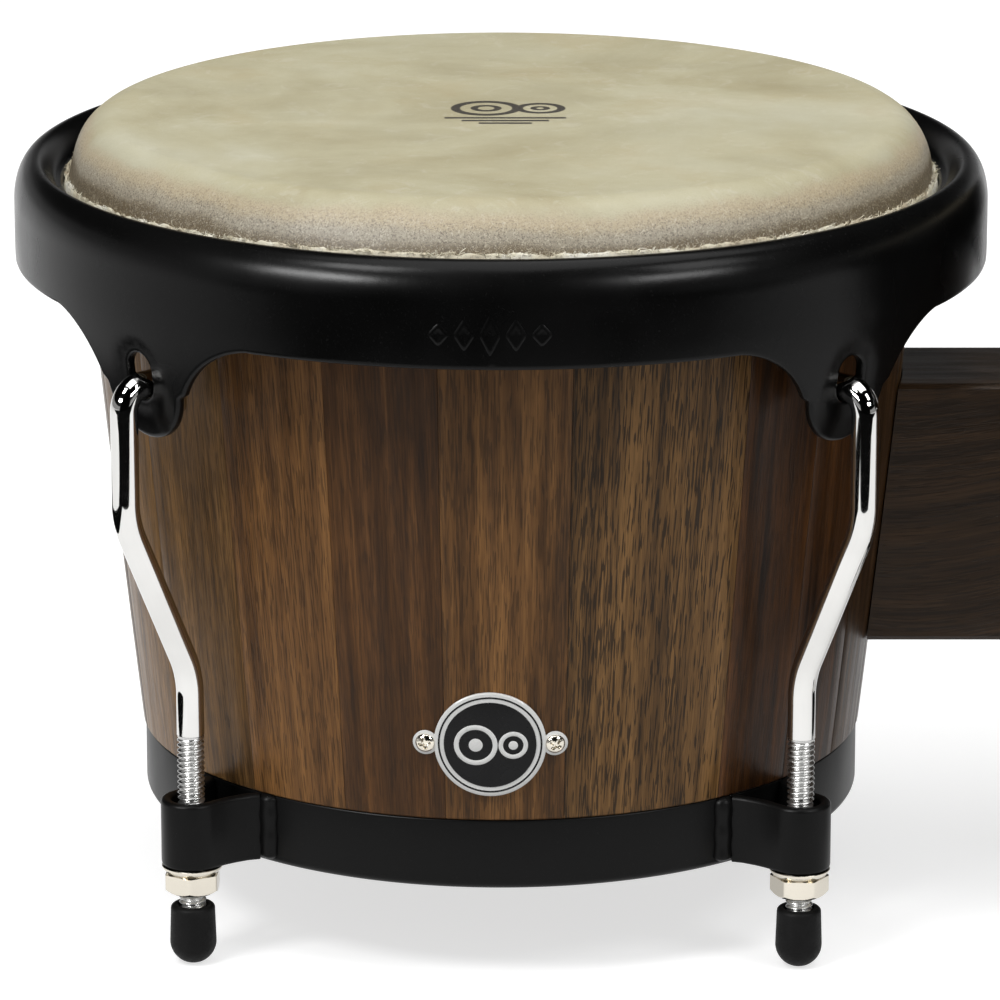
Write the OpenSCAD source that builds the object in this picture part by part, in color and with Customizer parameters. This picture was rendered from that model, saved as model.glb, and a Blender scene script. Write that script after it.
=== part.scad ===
// Pair of bongo drums: a larger and a smaller staved drum, joined by a centre block.
// Millimetres. +Z up, +X from the larger drum to the smaller one, the badges face -Y.
// z = 0 is the plane that the rubber tips stand on. Heights inside a drum count from its bottom ring.

/* [Drums] */
// Radius of the larger drum's head
hembra_head_r = 101.6; // [98:0.1:106]
// Radius of the smaller drum's head
macho_head_r = 85.7; // [82:0.1:90]
// Clear gap between the two tuning rims
rim_gap = 12; // [8:1:20]
// Height of the bottom rings above the rubber tips' ends
ring_base = 22.8; // [22:0.1:26]
// Height of a playing surface above its bottom ring
head_top = 163.8; // [162:0.1:166]

/* [Shells] */
// Widths of the glued staves, in degrees round the shell
stave_widths = [18, 26, 14, 15, 14, 24, 19, 16, 22, 15, 18, 21, 16, 17, 20, 15, 19, 18, 17, 16];
// Angle of the first stave's edge from the front of the drum
stave_start = -8.4; // [-9:0.1:-8]
// Glue line between two staves, in degrees
glue_line = 0.06; // [0.04:0.01:0.1]
// Thickness of the shell wall
wall = 10.5; // [9:0.5:11]
// How far the shell's foot radius is inside the head radius
foot_inset = 17.6; // [17:0.1:18]
// Widening of the shell for each millimetre of height
taper = 0.1145; // [0.11:0.0005:0.12]
// Slight barrel curve of the shell
barrel = 0.00008; // [0:0.00001:0.0001]

/* [Heads] */
// Thickness of the rawhide
hide = 1.7; // [1.4:0.1:1.8]
// Radial size of the rounded shoulder
shoulder_a = 11; // [10.5:0.1:11.1]
// Height of the rounded shoulder
shoulder_b = 14.2; // [13:0.1:15]
// Height of the turned-up edge of the hide
flap_top = 154.2; // [152:0.1:156]
// Radius of the round steel flesh hoop's section
hoop_r = 2.5; // [2:0.1:2.6]

/* [Tuning rims] */
// Sheet thickness of the rim
rim_t = 2.4; // [2:0.1:3]
// How far the rim stands outside the head radius
rim_out = 12.8; // [12.5:0.1:14]
// Height of the rim's crest
rim_top = 154.1; // [153:0.1:155]
// Height where the crest's curve meets the straight outer wall
rim_wall_top = 144.5; // [143:0.5:146]
// Height of the band's lower edge between the ears
band_bottom = 130.2; // [128:0.1:132]
// Radius of an ear's round lobe
ear_r = 12.3; // [12:0.1:14]
// Height of the lobe's centre
ear_z = 117.3; // [117:0.1:118]
// Radius of the flare between the ear and the band
flare_r = 23; // [20:1:24]
// Width of the slot that a hook passes through
slot_w = 7.8; // [7:0.1:8]
// Height of the slot's upper end
slot_top = 125.2; // [124:0.1:126]

/* [Tension rods] */
// Diameter of a rod and of its rolled thread
rod_d = 6.35; // [6:0.05:6.4]
// Radius of the circle of the rods' lower ends, inside the head radius
rod_inset = 2.4; // [2:0.1:3]
// Sideways offset of the S bend
bend_offset = 18.4; // [18:0.1:20]
// Slope of the S bend from the vertical, in degrees
bend_angle = 25; // [24:1:28]
// Centre-line radius of the S bends
bend_r = 22; // [20:1:24]
// Height where the S bend starts
bend_start = 42; // [40:1:46]
// Height of the hook's centre line
hook_z = 117.5; // [117:0.1:118]
// Centre-line radius of the hook's bends
hook_bend = 5.2; // [5:0.1:6]
// Distance between a hook's two legs
hook_span = 15.6; // [15.4:0.1:16]
// Turn of the tension hardware round its drum, in degrees
hardware_turn = -1; // [-2:0.1:2]
// Width across the flats of a tuning nut
nut_af = 12; // [11:0.1:13]
// Diameter of the flared base of a tuning nut
nut_flange_d = 14; // [13:0.1:14.5]

/* [Bottom rings] */
// Height of a bottom ring
ring_h = 16.9; // [16:0.1:18]
// Sheet thickness of the ring and of its lug straps
ring_t = 2.5; // [2:0.1:2.6]
// Width of the ring's flange under the shell's foot
ring_flange = 8.5; // [8:0.5:10]
// How far the ring's outer radius is inside the head radius
ring_inset = 16.2; // [16:0.1:16.4]
// Height of a lug strap
lug_h = 16; // [15:0.1:16.2]
// Inner radius of a strap's loop round the rod
lug_loop_r = 4.6; // [4.4:0.1:4.8]

/* [Badges] */
// Diameter of a badge
badge_d = 25.4; // [24:0.1:27]
// Height of a badge's centre
badge_z = 36.1; // [34:0.1:38]
// Distance between a badge's two screws
badge_screw_gap = 29.4; // [28:0.1:31]
// Turn of a badge round its drum, in degrees
badge_turn = -1.6; // [-2:0.1:0]

/* [Centre block] */
// Depth of the block, front to back
block_w = 38; // [34:1:42]
// Height of the block
block_h = 62.5; // [56:0.5:66]
// Height of the block's middle
block_z = 70.6; // [68:0.1:74]
// Diameter of the two bolts through the block
bolt_d = 8; // [6:1:8]
// Height between the two bolts
bolt_gap = 28; // [24:1:32]

/* [Hidden] */
$fn = 96;
DRUMS = ["hembra", "macho"];
CORNERS = ["front_left", "front_right", "back_right", "back_left"];
PIECES = [
    "shell", "head", "head_tuck", "flesh_hoop", "rim", "tension_rods", "rod_tips",
    "bottom_ring", "lug_straps", "badge", "badge_screws", "backing_plate"
];

FIT = 0.1;                    // clearance between parts that are fixed together
RUN = 0.05;                   // radial clearance between a rod and its nut
LAP = 1;                      // how far a cutter runs past the face that it cuts
FRONT = -90;                  // direction of -Y as an angle from +X
corner_az = [-45, 45, 135, 225];
hembra_rim_r = hembra_head_r + rim_out;
macho_rim_r = macho_head_r + rim_out;
spacing = hembra_rim_r + rim_gap + macho_rim_r;
hembra_x = hembra_rim_r - (hembra_rim_r + spacing + macho_rim_r) / 2;
macho_x = hembra_x + spacing;
rod_r = rod_d / 2;
shoulder_z = head_top - shoulder_b;
lug_z = 1;
nut_top = lug_z - FIT;
nut_h = 6.4;
flange_h = 1.8;
flange_edge = 0.4;
nut_bevel = 1;
tip_r = 5.4;
tip_top = -8.9;
tip_bottom = -ring_base;
tip_ball_z = tip_bottom + 5;
tip_floor = 3;                // rubber below the end of a rod
hook_leg = 5;                 // length of a hook's inner leg
BEND_SLIM = 0.02;             // a bend is this much slimmer than the straight rod
BEND_LAP = 0.01;              // straight lengths run this far into the bends
hoop_off = 3.8;               // hoop's circle outside the head radius
hoop_z = 142.6;
wrap_r = hoop_r + 1.3;
hide_in = 0.2;                // rounded shoulder's outside inside the head radius
edge_drop = 1.8;              // the wall's inner curve ends this far below the bearing edge
flap_in = 0.15;               // turned-up edge's inner face outside the head radius
flap_t = 1;
collar_bottom = 139.5;
lip_in = 1.3;                 // rim lip's inner edge outside the head radius
lip_top = 149.2;
lip_round = 1;
crest_in = 7.6;               // rim's crest outside the head radius
skirt_top = 135;
skirt_bottom = 103;
skirt_curve = 0.0048;
ear_step = 0.5;               // small step between an ear's lobe and its flare
flare_lift = 0.15;            // the flare meets the band's lower edge at a slight angle
leg_spread = 2.2;             // how far a strap's legs spread towards the ring
weld_foot = 4.6;              // width of a strap's welded foot
block_gap = 0.35;
plate_t = 2.5;
plate_bow = 1.3;              // depth of the plate's curved back
plate_w = 26;
plate_h = 56;
bolt_nut_af = 13;
bolt_nut_h = 6.5;
bolt_stub = 3;
screw_head_r = 2.2;
screw_head_h = 1.3;
screw_shank_r = 1.1;
screw_len = 8;
badge_t = 1;
head_lift = 0.6;              // underside of the screw heads over the middle of the badge's back
tab_r = 2.9;

// Running sum of the first n entries of a list
function sum_to(list, n) = n == 0 ? 0 : list[n - 1] + sum_to(list, n - 1);

// Points of an ellipse's arc round [cx, cy], from angle a0 to a1
function arc(cx, cy, a, b, a0, a1, n) =
    [for (i = [0:n]) let (t = a0 + (a1 - a0) * i / n) [cx + a * cos(t), cy + b * sin(t)]];

// Outer radius of a shell at height z above its bottom ring
function shell_r(hr, z) = hr - foot_inset + taper * z - barrel * z * z;

// Outer radius of the rim's skirt and ears at height z
function skirt_r(hr, z) = hr + rim_out - (z < skirt_top ? skirt_curve * pow(skirt_top - z, 2) : 0);

// Move children to the corner with the given number, with +X pointing out of the drum
module at_corner(i) {
    rotate([0, 0, FRONT + corner_az[i] + hardware_turn]) children();
}

// ---------------------------------------------------------------- shell

// Half section of the shell's wall: rebate for the ring, outer curve, bearing edge, inner curve
function shell_section(hr) =
    let (
        ring_in = hr - ring_inset - ring_t - FIT,
        step_z = ring_h + FIT,
        foot_z = ring_t + FIT,
        edge_r = hr - shoulder_a - hide_in,
        edge_a = shell_r(hr, shoulder_z) - edge_r,
        edge_b = head_top - hide - FIT - shoulder_z,
        inner_top = shoulder_z + edge_b - edge_drop
    )
    concat(
        [[ring_in, foot_z], [ring_in, step_z]],
        [for (i = [0:6]) let (z = step_z + (shoulder_z - step_z) * i / 6) [shell_r(hr, z), z]],
        arc(edge_r, shoulder_z, edge_a, edge_b, 11, 90, 7),
        [for (i = [0:4]) let (z = inner_top + (foot_z - inner_top) * i / 4) [shell_r(hr, z) - wall, z]]
    );

module shell(hr, mirrored) {
    side = mirrored ? -1 : 1;
    color("saddlebrown")
    difference() {
        for (i = [0:len(stave_widths) - 1]) {
            from = stave_start + sum_to(stave_widths, i);
            first = mirrored ? -from - stave_widths[i] : from;
            rotate([0, 0, FRONT + first])
                rotate_extrude(angle = stave_widths[i] - glue_line) polygon(shell_section(hr));
        }
        for (k = [-1, 1]) {
            translate([0, 0, block_z + k * bolt_gap / 2])
                rotate([0, side * 90, 0]) cylinder(h = hr + wall, d = bolt_d + 2 * FIT);
            badge_frame(hr) translate([0, k * badge_screw_gap / 2, -screw_len - LAP])
                cylinder(h = 2 * screw_len, r = screw_shank_r + RUN);
        }
    }
}

// ---------------------------------------------------------------- head

function head_section(hr) =
    let (
        mid = hr - shoulder_a - hide_in,
        in_a = shell_r(hr, shoulder_z) + FIT - mid,
        in_b = head_top - hide - shoulder_z,
        collar = [for (i = [0:3]) shoulder_z + (collar_bottom - shoulder_z) * i / 3]
    )
    concat(
        [[0, head_top]],
        arc(mid, shoulder_z, shoulder_a, shoulder_b, 90, 0, 10),
        [for (z = collar) if (z < shoulder_z) [shell_r(hr, z) + hide + 2 * FIT, z]],
        [for (i = [3:-1:1]) [shell_r(hr, collar[i]) + FIT, collar[i]]],
        arc(mid, shoulder_z, in_a, in_b, 0, 90, 10),
        [[0, head_top - hide]]
    );

module head(hr) {
    color("wheat") rotate_extrude() polygon(head_section(hr));
}

// The hide's edge: wrapped round the flesh hoop and turned up inside the rim's lip
module head_tuck(hr) {
    inner = hr + flap_in;
    color("burlywood")
    rotate_extrude() difference() {
        union() {
            translate([hr + hoop_off, hoop_z]) circle(wrap_r);
            polygon([
                [inner, hoop_z], [inner + flap_t, hoop_z + hoop_r], [inner + flap_t, flap_top - flap_t],
                [inner + flap_t / 2, flap_top], [inner, flap_top - flap_t]
            ]);
        }
        translate([hr + hoop_off, hoop_z]) circle(hoop_r + RUN);
    }
}

module flesh_hoop(hr) {
    color("gainsboro") rotate_extrude() translate([hr + hoop_off, hoop_z]) circle(hoop_r);
}

// ---------------------------------------------------------------- rim

// The rim's sloping inner side, between the lip and the crest, lowered by drop
function rim_slope(hr, drop, n) =
    let (r0 = hr + lip_in + 1.5 * lip_round, r1 = hr + crest_in)
    [for (i = [0:n]) let (u = i / n)
        [r0 + (r1 - r0) * u, lip_top - drop + (rim_top - lip_top) * (1 - cos(180 * u)) / 2]];

// Half section of the rim: lip, slope, crest, outer wall and skirt, and back along the underside
function rim_section(hr) =
    let (
        crest_r = hr + crest_in,
        a = rim_out - crest_in,
        b = rim_top - rim_wall_top,
        upright_t = rim_t + 0.2,
        under = rim_slope(hr, upright_t, 8),
        skirt = [for (i = [0:8]) skirt_top + (skirt_bottom - skirt_top) * i / 8]
    )
    concat(
        arc(hr + lip_in + lip_round, lip_top - lip_round, lip_round, lip_round, 180, 60, 4),
        rim_slope(hr, 0, 8),
        arc(crest_r, rim_wall_top, a, b, 80, 0, 8),
        [for (z = skirt) [skirt_r(hr, z), z]],
        [for (i = [8:-1:0]) [skirt_r(hr, skirt[i]) - rim_t, skirt[i]]],
        arc(crest_r, rim_wall_top, a - rim_t, b - upright_t, 0, 80, 6),
        [for (i = [8:-1:0]) under[i]],
        [[hr + lip_in, lip_top - upright_t]]
    );

// Front view of an ear, as [across, height]
module ear_outline() {
    flare_low = ear_z - 2;
    flare_x = flare_r + ear_r - ear_step;
    difference() {
        union() {
            translate([0, ear_z]) circle(ear_r);
            difference() {
                translate([-flare_x, flare_low]) square([2 * flare_x, band_bottom - flare_low + LAP]);
                for (k = [-1, 1])
                    translate([k * flare_x, band_bottom - flare_r + flare_lift]) circle(flare_r);
            }
        }
        slot_bottom = hook_z - rod_r - FIT;
        slot_round = slot_w / 2;
        for (z = [slot_bottom + slot_round, slot_top - slot_round]) translate([0, z]) circle(slot_round);
        translate([-slot_round, slot_bottom + slot_round])
            square([slot_w, slot_top - slot_bottom - slot_w]);
    }
}

module rim(hr) {
    inside = hr - 5;
    reach = hr + rim_out + 5;
    color("dimgray")
    intersection() {
        rotate_extrude() polygon(rim_section(hr));
        union() {
            translate([0, 0, band_bottom]) difference() {
                cylinder(h = 2 * ear_r, r = reach);
                translate([0, 0, -LAP]) cylinder(h = 2 * ear_r + 2 * LAP, r = inside);
            }
            for (i = [0:3]) at_corner(i) translate([inside - LAP, 0, 0])
                rotate([90, 0, 90]) linear_extrude(reach - inside + 2 * LAP) ear_outline();
        }
    }
}

// ---------------------------------------------------------------- tension rods

// Bend in a rod, in the XZ plane: starts at the origin heading up and curves towards -X
module rod_bend(bend, angle) {
    rotate([90, 0, 0]) translate([-bend, 0, 0])
        rotate_extrude(angle = angle) translate([bend, 0]) circle(rod_r - BEND_SLIM);
}

// Straight length of rod along +Z, lapped into the bends at its ends
module rod_straight(length) {
    translate([0, 0, -BEND_LAP]) cylinder(h = length + 2 * BEND_LAP, r = rod_r);
}

module tension_rod(r_low) {
    arc_x = bend_r * (1 - cos(bend_angle));
    arc_z = bend_r * sin(bend_angle);
    run = (bend_offset - 2 * arc_x) / sin(bend_angle);
    top_z = bend_start + 2 * arc_z + run * cos(bend_angle);
    rod_end = tip_bottom + tip_floor;
    r_high = r_low + bend_offset;
    hook_start = hook_z - hook_bend;
    translate([r_low, 0, rod_end]) rod_straight(bend_start - rod_end);
    translate([r_low, 0, bend_start]) mirror([1, 0, 0]) rod_bend(bend_r, bend_angle);
    translate([r_low + arc_x, 0, bend_start + arc_z]) rotate([0, bend_angle, 0]) rod_straight(run);
    translate([r_high, 0, top_z]) rotate([180, 0, 0]) rod_bend(bend_r, bend_angle);
    translate([r_high, 0, top_z]) rod_straight(hook_start - top_z);
    translate([r_high, 0, hook_start]) rod_bend(hook_bend, 90);
    translate([r_high - hook_bend, 0, hook_z])
        rotate([0, -90, 0]) rod_straight(hook_span - 2 * hook_bend);
    translate([r_high - hook_span, 0, hook_start]) mirror([1, 0, 0]) rod_bend(hook_bend, 90);
    translate([r_high - hook_span, 0, hook_start - hook_leg]) rod_straight(hook_leg);
}

module tension_rods(hr) {
    color("silver") for (i = [0:3]) at_corner(i) tension_rod(hr - rod_inset);
}

// Hollow rubber tip with a round end, cut flat where it stands
module rod_tip() {
    difference() {
        union() {
            translate([0, 0, tip_ball_z]) cylinder(h = tip_top - 1 - tip_ball_z, r = tip_r);
            translate([0, 0, tip_top - 1]) cylinder(h = 1, r1 = tip_r, r2 = tip_r - 1);
            intersection() {
                translate([0, 0, tip_ball_z]) sphere(tip_r);
                translate([0, 0, tip_bottom]) cylinder(h = tip_r, r = tip_r + 1);
            }
        }
        translate([0, 0, tip_bottom + tip_floor])
            cylinder(h = tip_top - tip_bottom, r = rod_r + RUN);
    }
}

module rod_tips(hr) {
    color("black") for (i = [0:3]) at_corner(i) translate([hr - rod_inset, 0, 0]) rod_tip();
}

// Hexagon nut with a flared base that bears on the lug strap above it
module nut(hr, i) {
    color("lightgray")
    at_corner(i) translate([hr - rod_inset, 0, 0]) difference() {
        union() {
            intersection() {
                translate([0, 0, nut_top - nut_h])
                    cylinder(h = nut_h - flange_h, d = nut_af / cos(30), $fn = 6);
                translate([0, 0, nut_top - nut_h]) nut_chamfer();
            }
            translate([0, 0, nut_top - flange_h])
                cylinder(h = flange_h - flange_edge, d1 = nut_af - 0.2, d2 = nut_flange_d);
            translate([0, 0, nut_top - flange_edge]) cylinder(h = flange_edge, d = nut_flange_d);
        }
        translate([0, 0, nut_top - nut_h - LAP]) cylinder(h = nut_h + 2 * LAP, r = rod_r + RUN);
    }
}

// Cone and cylinder that take the sharp corners off the hexagon's lower face
module nut_chamfer() {
    corner_r = nut_af / 2 / cos(30) + 0.1;
    cylinder(h = nut_bevel, r1 = nut_af / 2, r2 = corner_r);
    translate([0, 0, nut_bevel]) cylinder(h = nut_h, r = corner_r);
}

// ---------------------------------------------------------------- bottom ring

module bottom_ring(hr) {
    r = hr - ring_inset;
    round_r = 1.5;
    bevel = 0.5;
    color("dimgray")
    rotate_extrude() polygon(concat(
        [[r - ring_flange, 0]],
        arc(r - round_r, round_r, round_r, round_r, -90, 0, 4),
        [[r, ring_h - bevel], [r - bevel, ring_h], [r - ring_t, ring_h], [r - ring_t, ring_t],
            [r - ring_flange, ring_t]]
    ));
}

// Plan of a strap: a loop round the rod, two legs, and two feet that lie against the ring
module lug_plan(hr) {
    r = hr - ring_inset;
    rod_x = hr - rod_inset;
    outer = lug_loop_r + ring_t;
    leg = outer + leg_spread;
    sunk = r - 2;
    foot_t = 2.1;
    difference() {
        union() {
            translate([rod_x, 0]) circle(outer);
            polygon([
                [rod_x, outer], [sunk, leg], [sunk, -leg], [rod_x, -outer]
            ]);
        }
        translate([rod_x, 0]) circle(lug_loop_r);
        polygon([
            [rod_x, lug_loop_r], [sunk - LAP, leg - ring_t], [sunk - LAP, ring_t - leg],
            [rod_x, -lug_loop_r]
        ]);
        circle(r + RUN);
    }
    for (k = [-1, 1]) difference() {
        intersection() {
            circle(r + RUN + foot_t);
            translate([sunk, k * leg - weld_foot / 2]) square([2 * weld_foot, weld_foot]);
        }
        circle(r + RUN);
    }
}

module lug_straps(hr) {
    color("dimgray") for (i = [0:3]) at_corner(i)
        translate([0, 0, lug_z]) linear_extrude(lug_h) lug_plan(hr);
}

// ---------------------------------------------------------------- badge

// Frame with +Z out of the shell through the badge's centre and +Y round the shell
module badge_frame(hr) {
    rotate([0, 0, FRONT + badge_turn]) translate([shell_r(hr, badge_z), 0, badge_z])
        rotate([0, 90, 0]) children();
}

module badge(hr) {
    top = badge_z + badge_d;
    low = badge_z - badge_d;
    color("whitesmoke")
    intersection() {
        rotate_extrude() polygon([
            [shell_r(hr, low) + FIT, low], [shell_r(hr, low) + FIT + badge_t, low],
            [shell_r(hr, badge_z) + FIT + badge_t, badge_z], [shell_r(hr, top) + FIT + badge_t, top],
            [shell_r(hr, top) + FIT, top], [shell_r(hr, badge_z) + FIT, badge_z]
        ]);
        badge_frame(hr) difference() {
            union() {
                translate([0, 0, -wall]) cylinder(h = 2 * wall, d = badge_d);
                for (k = [-1, 1])
                    translate([0, k * badge_screw_gap / 2, -wall]) cylinder(h = 2 * wall, r = tab_r);
            }
            for (k = [-1, 1]) translate([0, k * badge_screw_gap / 2, -wall - LAP])
                cylinder(h = 2 * (wall + LAP), r = screw_shank_r + RUN);
        }
    }
}

module badge_screws(hr) {
    bow = shell_r(hr, badge_z) * (1 - cos(asin(badge_screw_gap / 2 / shell_r(hr, badge_z))));
    seat = FIT + badge_t + head_lift - bow;
    color("silver") badge_frame(hr) for (k = [-1, 1]) translate([0, k * badge_screw_gap / 2, seat]) {
        translate([0, 0, -screw_len]) cylinder(h = screw_len, r = screw_shank_r);
        cylinder(h = screw_head_h / 2, r = screw_head_r);
        translate([0, 0, screw_head_h / 2])
            cylinder(h = screw_head_h / 2, r1 = screw_head_r, r2 = screw_head_r / 2);
    }
}

// ---------------------------------------------------------------- centre block

// Body of revolution that a shell fills, widened by gap
module shell_envelope(hr, gap) {
    low = block_z - block_h;
    high = block_z + block_h;
    rotate_extrude() polygon(concat(
        [[0, low]],
        [for (i = [0:6]) let (z = low + (high - low) * i / 6) [shell_r(hr, z) + gap, z]],
        [[0, high]]
    ));
}

module centre_block() {
    left = hembra_x + shell_r(hembra_head_r, block_z) - wall;
    right = macho_x - shell_r(macho_head_r, block_z) + wall;
    color("saddlebrown")
    translate([0, 0, ring_base]) difference() {
        translate([left, -block_w / 2, block_z - block_h / 2]) cube([right - left, block_w, block_h]);
        translate([hembra_x, 0, 0]) shell_envelope(hembra_head_r, block_gap);
        translate([macho_x, 0, 0]) shell_envelope(macho_head_r, block_gap);
        for (k = [-1, 1]) translate([left - LAP, 0, block_z + k * bolt_gap / 2])
            rotate([0, 90, 0]) cylinder(h = right - left + 2 * LAP, d = bolt_d + 2 * FIT);
    }
}

// Inner radius of a shell beside a bolt, where its backing plate starts
function plate_x(hr) = shell_r(hr, block_z - plate_h / 2) - wall - FIT - plate_t - plate_bow;

// Flat steel plate inside the shell that spreads the bolts' pull, with a curved back
module backing_plate(hr, mirrored) {
    side = mirrored ? -1 : 1;
    color("darkgray") scale_side(side) difference() {
        intersection() {
            translate([plate_x(hr), -plate_w / 2, block_z - plate_h / 2])
                cube([2 * wall, plate_w, plate_h]);
            shell_envelope(hr, -wall - 3 * FIT);
        }
        for (k = [-1, 1]) translate([0, 0, block_z + k * bolt_gap / 2])
            rotate([0, 90, 0]) cylinder(h = hr + wall, d = bolt_d + 2 * FIT);
    }
}

// Mirror children to -X when side is -1
module scale_side(side) {
    if (side < 0) mirror([1, 0, 0]) children();
    else children();
}

module block_bolts() {
    from = hembra_x + plate_x(hembra_head_r) - bolt_nut_h - bolt_stub;
    to = macho_x - plate_x(macho_head_r) + bolt_nut_h + bolt_stub;
    color("silver") for (k = [-1, 1]) translate([from, 0, ring_base + block_z + k * bolt_gap / 2])
        rotate([0, 90, 0]) cylinder(h = to - from, d = bolt_d);
}

module block_nuts() {
    starts = [
        hembra_x + plate_x(hembra_head_r) - bolt_nut_h - RUN,
        macho_x - plate_x(macho_head_r) + RUN
    ];
    color("lightgray") for (x = starts) for (k = [-1, 1])
        translate([x, 0, ring_base + block_z + k * bolt_gap / 2]) rotate([0, 90, 0]) difference() {
            cylinder(h = bolt_nut_h, d = bolt_nut_af / cos(30), $fn = 6);
            translate([0, 0, -LAP]) cylinder(h = bolt_nut_h + 2 * LAP, d = bolt_d + 2 * RUN);
        }
}

// ---------------------------------------------------------------- assembly

// One piece of one drum, in the drum's own frame
module drum_piece(piece, hr, mirrored) {
    if (piece == "shell") shell(hr, mirrored);
    if (piece == "head") head(hr);
    if (piece == "head_tuck") head_tuck(hr);
    if (piece == "flesh_hoop") flesh_hoop(hr);
    if (piece == "rim") rim(hr);
    if (piece == "tension_rods") tension_rods(hr);
    if (piece == "rod_tips") rod_tips(hr);
    if (piece == "bottom_ring") bottom_ring(hr);
    if (piece == "lug_straps") lug_straps(hr);
    if (piece == "badge") badge(hr);
    if (piece == "badge_screws") badge_screws(hr);
    if (piece == "backing_plate") backing_plate(hr, mirrored);
}

for (drum = [0, 1]) translate([[hembra_x, macho_x][drum], 0, ring_base]) {
    for (piece = PIECES)
        drum_piece(piece, [hembra_head_r, macho_head_r][drum], drum == 1);
    for (i = [0:3])
        nut([hembra_head_r, macho_head_r][drum], i);
}
centre_block();
block_bolts();
block_nuts();
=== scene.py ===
import math
import random

import bmesh
import bpy
import numpy as np
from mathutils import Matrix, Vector
from mathutils.geometry import delaunay_2d_cdt


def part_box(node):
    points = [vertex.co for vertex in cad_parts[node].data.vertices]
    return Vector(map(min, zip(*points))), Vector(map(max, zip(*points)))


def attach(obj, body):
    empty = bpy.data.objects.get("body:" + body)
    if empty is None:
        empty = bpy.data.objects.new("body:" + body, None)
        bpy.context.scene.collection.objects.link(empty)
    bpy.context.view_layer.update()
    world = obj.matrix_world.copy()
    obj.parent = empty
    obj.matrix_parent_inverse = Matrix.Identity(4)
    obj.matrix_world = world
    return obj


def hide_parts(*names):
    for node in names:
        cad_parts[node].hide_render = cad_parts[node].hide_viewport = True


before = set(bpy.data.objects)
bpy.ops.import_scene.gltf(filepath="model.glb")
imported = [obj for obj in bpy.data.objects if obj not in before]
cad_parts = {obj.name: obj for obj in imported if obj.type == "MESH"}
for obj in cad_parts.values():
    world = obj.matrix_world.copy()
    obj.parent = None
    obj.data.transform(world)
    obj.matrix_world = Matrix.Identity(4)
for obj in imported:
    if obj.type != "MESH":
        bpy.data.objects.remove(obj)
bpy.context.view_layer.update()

# Sizes are in millimetres until a mesh is made. Heights inside a drum count from its bottom ring.
MM = 0.001
FRONT = -90.0                       # direction of -Y as an angle from +X, in degrees
HARDWARE_TURN = -1.0                # turn of the tension hardware round its drum, in degrees
CORNERS = {"front_left": -45, "front_right": 45, "back_right": 135, "back_left": 225}
STAVE_WIDTHS = [18, 26, 14, 15, 14, 24, 19, 16, 22, 15, 18, 21, 16, 17, 20, 15, 19, 18, 17, 16]
STAVE_START = -8.4
GLUE_LINE = 0.06
WALL = 10.5
HIDE = 1.7
SHOULDER_IN, SHOULDER_H = 11.2, 14.2   # the skin's shoulder, in from the head radius and down
COLLAR_LOW = 139.5
HOOP_OFF, HOOP_Z = 3.8, 142.6       # centre of the flesh hoop's section
RIM_T = 2.4
RING_T = 2.5
ROD_R = 3.175
PITCH = 1.27
random.seed(11)


# ------------------------------------------------------------------ shapes

class Shape:
    """Vertices, faces and vertex attributes of one piece while it is put together."""

    def __init__(self):
        self.points, self.faces, self.count = [], [], 0
        self.attributes = {}

    def add(self, points, faces, **attributes):
        points = np.asarray(points, float).reshape(-1, 3)
        self.faces += [[i + self.count for i in face] for face in faces]
        for name, values in attributes.items():
            values = np.asarray(values, float)
            if values.ndim == 0:
                values = np.full(len(points), float(values))
            self.attributes.setdefault(name, []).append((self.count, values))
        self.points.append(points)
        self.count += len(points)
        return self

    def grid(self, points, wrap_rows=False, wrap_columns=False, caps=False, **attributes):
        """A sheet of rows by columns of points; caps closes the first and the last row."""
        rows, columns = points.shape[:2]
        faces = []
        for i in range(rows if wrap_rows else rows - 1):
            below = ((i + 1) % rows) * columns
            for j in range(columns if wrap_columns else columns - 1):
                right = (j + 1) % columns
                faces.append([i * columns + j, i * columns + right, below + right, below + j])
        if caps:
            faces.append(list(range(columns))[::-1])
            faces.append([(rows - 1) * columns + j for j in range(columns)])
        return self.add(points.reshape(-1, 3), faces, **attributes)

    def make(self, name, material, body, slot, smooth=40, weld=0.002, place=None):
        """The finished object, in metres, riding on its CAD body."""
        mesh = bpy.data.meshes.new(name)
        mesh.from_pydata((np.vstack(self.points) * MM).tolist(), [], self.faces)
        for key, chunks in self.attributes.items():
            width = chunks[0][1].ndim
            kind = "FLOAT" if width == 1 else "FLOAT_VECTOR"
            data = np.zeros((self.count,) if width == 1 else (self.count, 3))
            for start, values in chunks:
                data[start:start + len(values)] = values
            layer = mesh.attributes.new(key, kind, "POINT")
            layer.data.foreach_set("value" if width == 1 else "vector", data.ravel())
        if weld:
            clean(mesh, weld)
        mesh.shade_smooth()
        mesh.set_sharp_from_angle(angle=math.radians(smooth))
        mesh.materials.append(material)
        return put(name, mesh, body, place)


def clean(mesh, weld=0):
    """Points within weld mm of each other joined, and faces of closed islands turned outwards."""
    work = bmesh.new()
    work.from_mesh(mesh)
    if weld:
        bmesh.ops.remove_doubles(work, verts=work.verts, dist=weld * MM)
    bmesh.ops.recalc_face_normals(work, faces=work.faces)
    work.to_mesh(mesh)
    work.free()


def put(name, mesh, body, place=None):
    """An object of that mesh, riding on a body; place is its x, y, z in mm and its turn in degrees."""
    piece = bpy.data.objects.new(name, mesh)
    bpy.context.scene.collection.objects.link(piece)
    if place is not None:
        piece.location = [c * MM for c in place[:3]]
        piece.rotation_euler = (0, 0, math.radians(place[3]))
    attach(piece, body)
    return piece


def on_drum(drum, shape, kind, material, body, slot, smooth, weld=0, node=None):
    """A piece in the drum's own frame, in the place of a CAD node if one is named."""
    piece = shape.make(f"{drum.name}_{kind}", material, body, slot, smooth, weld, drum.place)
    if node:
        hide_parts(f"{drum.name}_{node}")


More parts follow.
